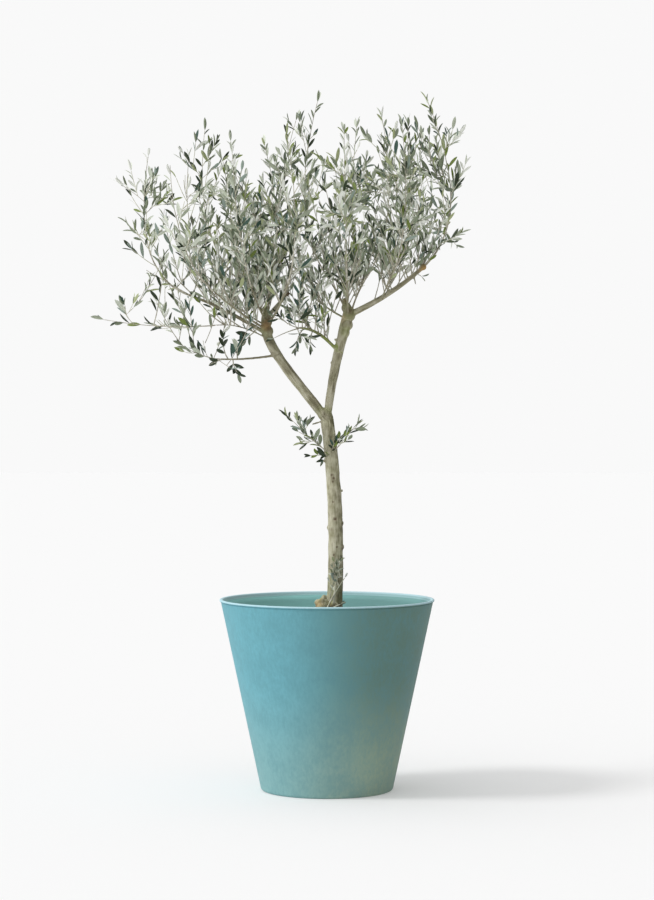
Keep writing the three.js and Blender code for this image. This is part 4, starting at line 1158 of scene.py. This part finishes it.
# Compost: a bed with a crumbly top, packed a little higher round the trunk, and chips of bark strewn on it.
compost = {"level": soilLevel, "crown": 4, "floor": planter["floor"] + 0.3, "gap": 0.6, "rings": 70,
    "sides": 220,
    "lump": 38, "lumpHeight": 3.2, "crumb": 7, "crumbHeight": 1.5, "mound": 5, "moundWidth": 45, "edge": 12}
chips = {"Density": 15000.0, "Largest": 0.011, "Smallest": 0.003, "Seed": 5}


def makeCompost():
    c = compost
    outer, bottom = insideAt(c["level"]) - c["gap"], insideAt(c["floor"]) - 6
    profile = [(0, c["floor"]), (bottom, c["floor"]), (bottom + 4, c["floor"] + 6)]
    profile += [(outer * k / c["rings"], c["level"] + c["crown"] * (1 - (k / c["rings"]) ** 2))
        for k in range(c["rings"], -1, -1)]
    mesh = lathe("compost", profile, c["sides"])
    points = readPoints(mesh) / mm
    for i, point in enumerate(points):
        out = math.hypot(point[0], point[1])
        if point[2] > c["level"] - 1 and out < outer - 1:
            rise = noise.noise(Vector(point / c["lump"])) * c["lumpHeight"]
            rise += noise.fractal(Vector(point / c["crumb"]), 1, 2, 3) * c["crumbHeight"]
            fromTrunk = (point[0] - trunk["base"][0]) ** 2 + point[1] ** 2
            rise += c["mound"] * math.exp(-fromTrunk / c["moundWidth"] ** 2)
            points[i][2] += rise * min(1, (outer - out) / c["edge"])
    movePoints(mesh, points)
    return newObject("compost", mesh)


def makeCompostSkin(name, colours, size):
    # damp peat and bark fines: almost no gloss, crumbs of several browns
    material, tree, shader = newMaterial(name)
    crumbs = addNode(tree, "TexNoise", {"Scale": 1000 / size, "Detail": 5, "Roughness": 0.65,
        "Vector": (addNode(tree, "TexCoord"), "Object")})
    colour = addNode(tree, "ValToRGB", {"stops": colours, "Fac": (crumbs, "Fac")})
    bump = addNode(tree, "Bump", {"Strength": 0.6, "Distance": 0.0012, "Height": (crumbs, "Fac")})
    setNode(tree, shader, {"Base Color": (colour, "Color"), "Normal": (bump, "Normal"), "Roughness": 0.92,
        "Specular IOR Level": 0.2})
    return material


def makeChipTree():
    tree, group = geometryTree("chips strewn on the bed", {"Density": "Float", "Largest": "Float",
        "Smallest": "Float", "Seed": "Int", "Bark": "Material"})
    seed = {"Seed": (group, "Seed")}
    normal = addNode(tree, "SeparateXYZ", {"Vector": (addNode(tree, "InputNormal"), "Normal")})
    onTop = addNode(tree, "Compare", {"operation": "GREATER_THAN", 0: (normal, "Z"), 1: 0.5})
    chip = addNode(tree, "MeshIcoSphere", {"Radius": 0.5, "Subdivisions": 1})
    long = addNode(tree, "RandomValue", {"data_type": "FLOAT", 2: (group, "Smallest"),
        3: (group, "Largest"), **seed})
    flat = addNode(tree, "RandomValue", {"data_type": "FLOAT", 2: 0.0012, 3: 0.003, **seed})
    wide = addNode(tree, "Math", {"operation": "MULTIPLY", 0: (long, 1), 1: 0.55})
    size = addNode(tree, "CombineXYZ", {"X": (long, 1), "Y": (wide, 0), "Z": (flat, 1)})
    turned = addNode(tree, "RandomValue", {"data_type": "FLOAT_VECTOR", 0: (-0.5, -0.5, 0), 1: (0.5, 0.5, 6.28),
        **seed})
    addRow(tree, (group, "Geometry"), ("DistributePointsOnFaces", {"distribute_method": "RANDOM",
        "Selection": (onTop, "Result"), "Density": (group, "Density"), **seed}),
        ("InstanceOnPoints", {"Instance": (chip, "Mesh"), "Rotation": (turned, 0), "Scale": (size, "Vector")}),
        ("RealizeInstances", {}), ("SetShadeSmooth", {"Shade Smooth": False}),
        ("SetMaterial", {"Material": (group, "Bark")}))
    return tree


bed = makeCompost()
barkSkin = makeCompostSkin("bark chips, dry and reddish brown",
    [(0.3, "#3b2a1d"), (0.5, "#5d4430"), (0.75, "#7b6147")], 4)
barkChips = applyTree(bed.data.copy(), makeChipTree(), {**chips, "Bark": barkSkin}, "bark_chips")
bed.data.materials.append(makeCompostSkin("peat compost, damp and crumbly",
    [(0.3, "#2a2019"), (0.5, "#3d2f24"), (0.72, "#54432f")], 5))
print("compost,", len(barkChips.data.polygons), "faces of chips")

# Studio: a pale floor that runs into a white background, a soft key from the left, and the camera.
studio = {
    "floor": "#dcdcdc", "floorGlow": 0.2, "floorSize": 60, "ambient": 0.46, "fromLeft": 0.9, "overhead": 0.66,
    "background": 0.948, "keyStrength": 1.25, "keyHeight": 42, "keyTowardsFront": 13, "keySoftness": 16,
    "cameraAway": 6.6, "cameraHeight": 0.99, "tiltDown": 1.04, "lens": 103.2,
}
white = (1, 1, 1, 1)


def makeFloor():
    half = studio["floorSize"] / 2 / mm
    corners = [(-half, -half, 0), (half, -half, 0), (half, half, 0), (-half, half, 0)]
    floor = newObject("floor", meshOf("floor", corners, faces=[(0, 1, 2, 3)]))
    material, tree, shader = newMaterial("white studio floor")
    # a faint glow keeps the shadow on it as light as on a bright studio sweep
    setNode(tree, shader, {"Base Color": linear(studio["floor"]), "Roughness": 1, "Specular IOR Level": 0,
        "Emission Color": white, "Emission Strength": studio["floorGlow"]})
    floor.data.materials.append(material)
    return floor


def makeLight():
    s, world = studio, bpy.data.worlds.new("soft white room")
    world.use_nodes = True
    bpy.context.scene.world = world
    tree = world.node_tree
    # the room's light is stronger from the left and from above, and its background is seen plain
    direction = addNode(tree, "SeparateXYZ", {"Vector": (addNode(tree, "TexCoord"), "Generated")})
    amount = addNode(tree, "Math", {"operation": "MULTIPLY_ADD", 0: (direction, "X"),
        1: -s["fromLeft"] * s["ambient"], 2: s["ambient"]})
    above = addNode(tree, "Math", {"operation": "POWER", "use_clamp": True, 0: (direction, "Z"), 1: 2})
    total = addNode(tree, "Math", {"operation": "MULTIPLY_ADD", 0: (above, 0), 1: s["overhead"],
        2: (amount, 0)})
    light = setNode(tree, tree.nodes["Background"], {"Color": white, "Strength": (total, 0)})
    seen = addNode(tree, "Background", {"Color": white, "Strength": s["background"]})
    seenByCamera = (addNode(tree, "LightPath"), "Is Camera Ray")
    both = addNode(tree, "MixShader", {0: seenByCamera, 1: (light, 0), 2: (seen, 0)})
    setNode(tree, tree.nodes["World Output"], {"Surface": (both, 0)})
    key = bpy.data.lights.new("soft key", "SUN")
    key.energy = s["keyStrength"]
    key.angle = math.radians(s["keySoftness"])
    # it stands to the left and a little in front
    up, turn = math.radians(s["keyHeight"]), math.radians(s["keyTowardsFront"])
    towards = Vector((-math.cos(up) * math.cos(turn), -math.cos(up) * math.sin(turn), math.sin(up)))
    newObject("soft key", key).rotation_euler = towards.to_track_quat("Z", "Y").to_euler()


def makeCamera():
    camera = bpy.data.cameras.new("camera")
    camera.lens = studio["lens"]
    camera.sensor_width = 36
    camera.clip_end = 100
    view = newObject("camera", camera)
    view.location = (0, -studio["cameraAway"], studio["cameraHeight"])
    view.rotation_euler = (math.radians(90 - studio["tiltDown"]), 0, 0)
    bpy.context.scene.camera = view
    bpy.context.scene.view_settings.view_transform = "Standard"


floor = makeFloor()
makeLight()
makeCamera()
print("studio set")

# What each piece stands for in the frame.
leafyNodes = [name + "_foliage" for name in masses]
for piece in leafPieces + [woodyTwigs, youngShoots]:
    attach(piece, "root")
    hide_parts(*leafyNodes)
for piece, nodes, slot in ((bark, list(limbs), "bark"), (pot, ["pot"], "pot"), (bed, ["soil"], "soil"),
        (barkChips, ["soil"], "soil")):
    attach(piece, "root")
    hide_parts(*nodes)
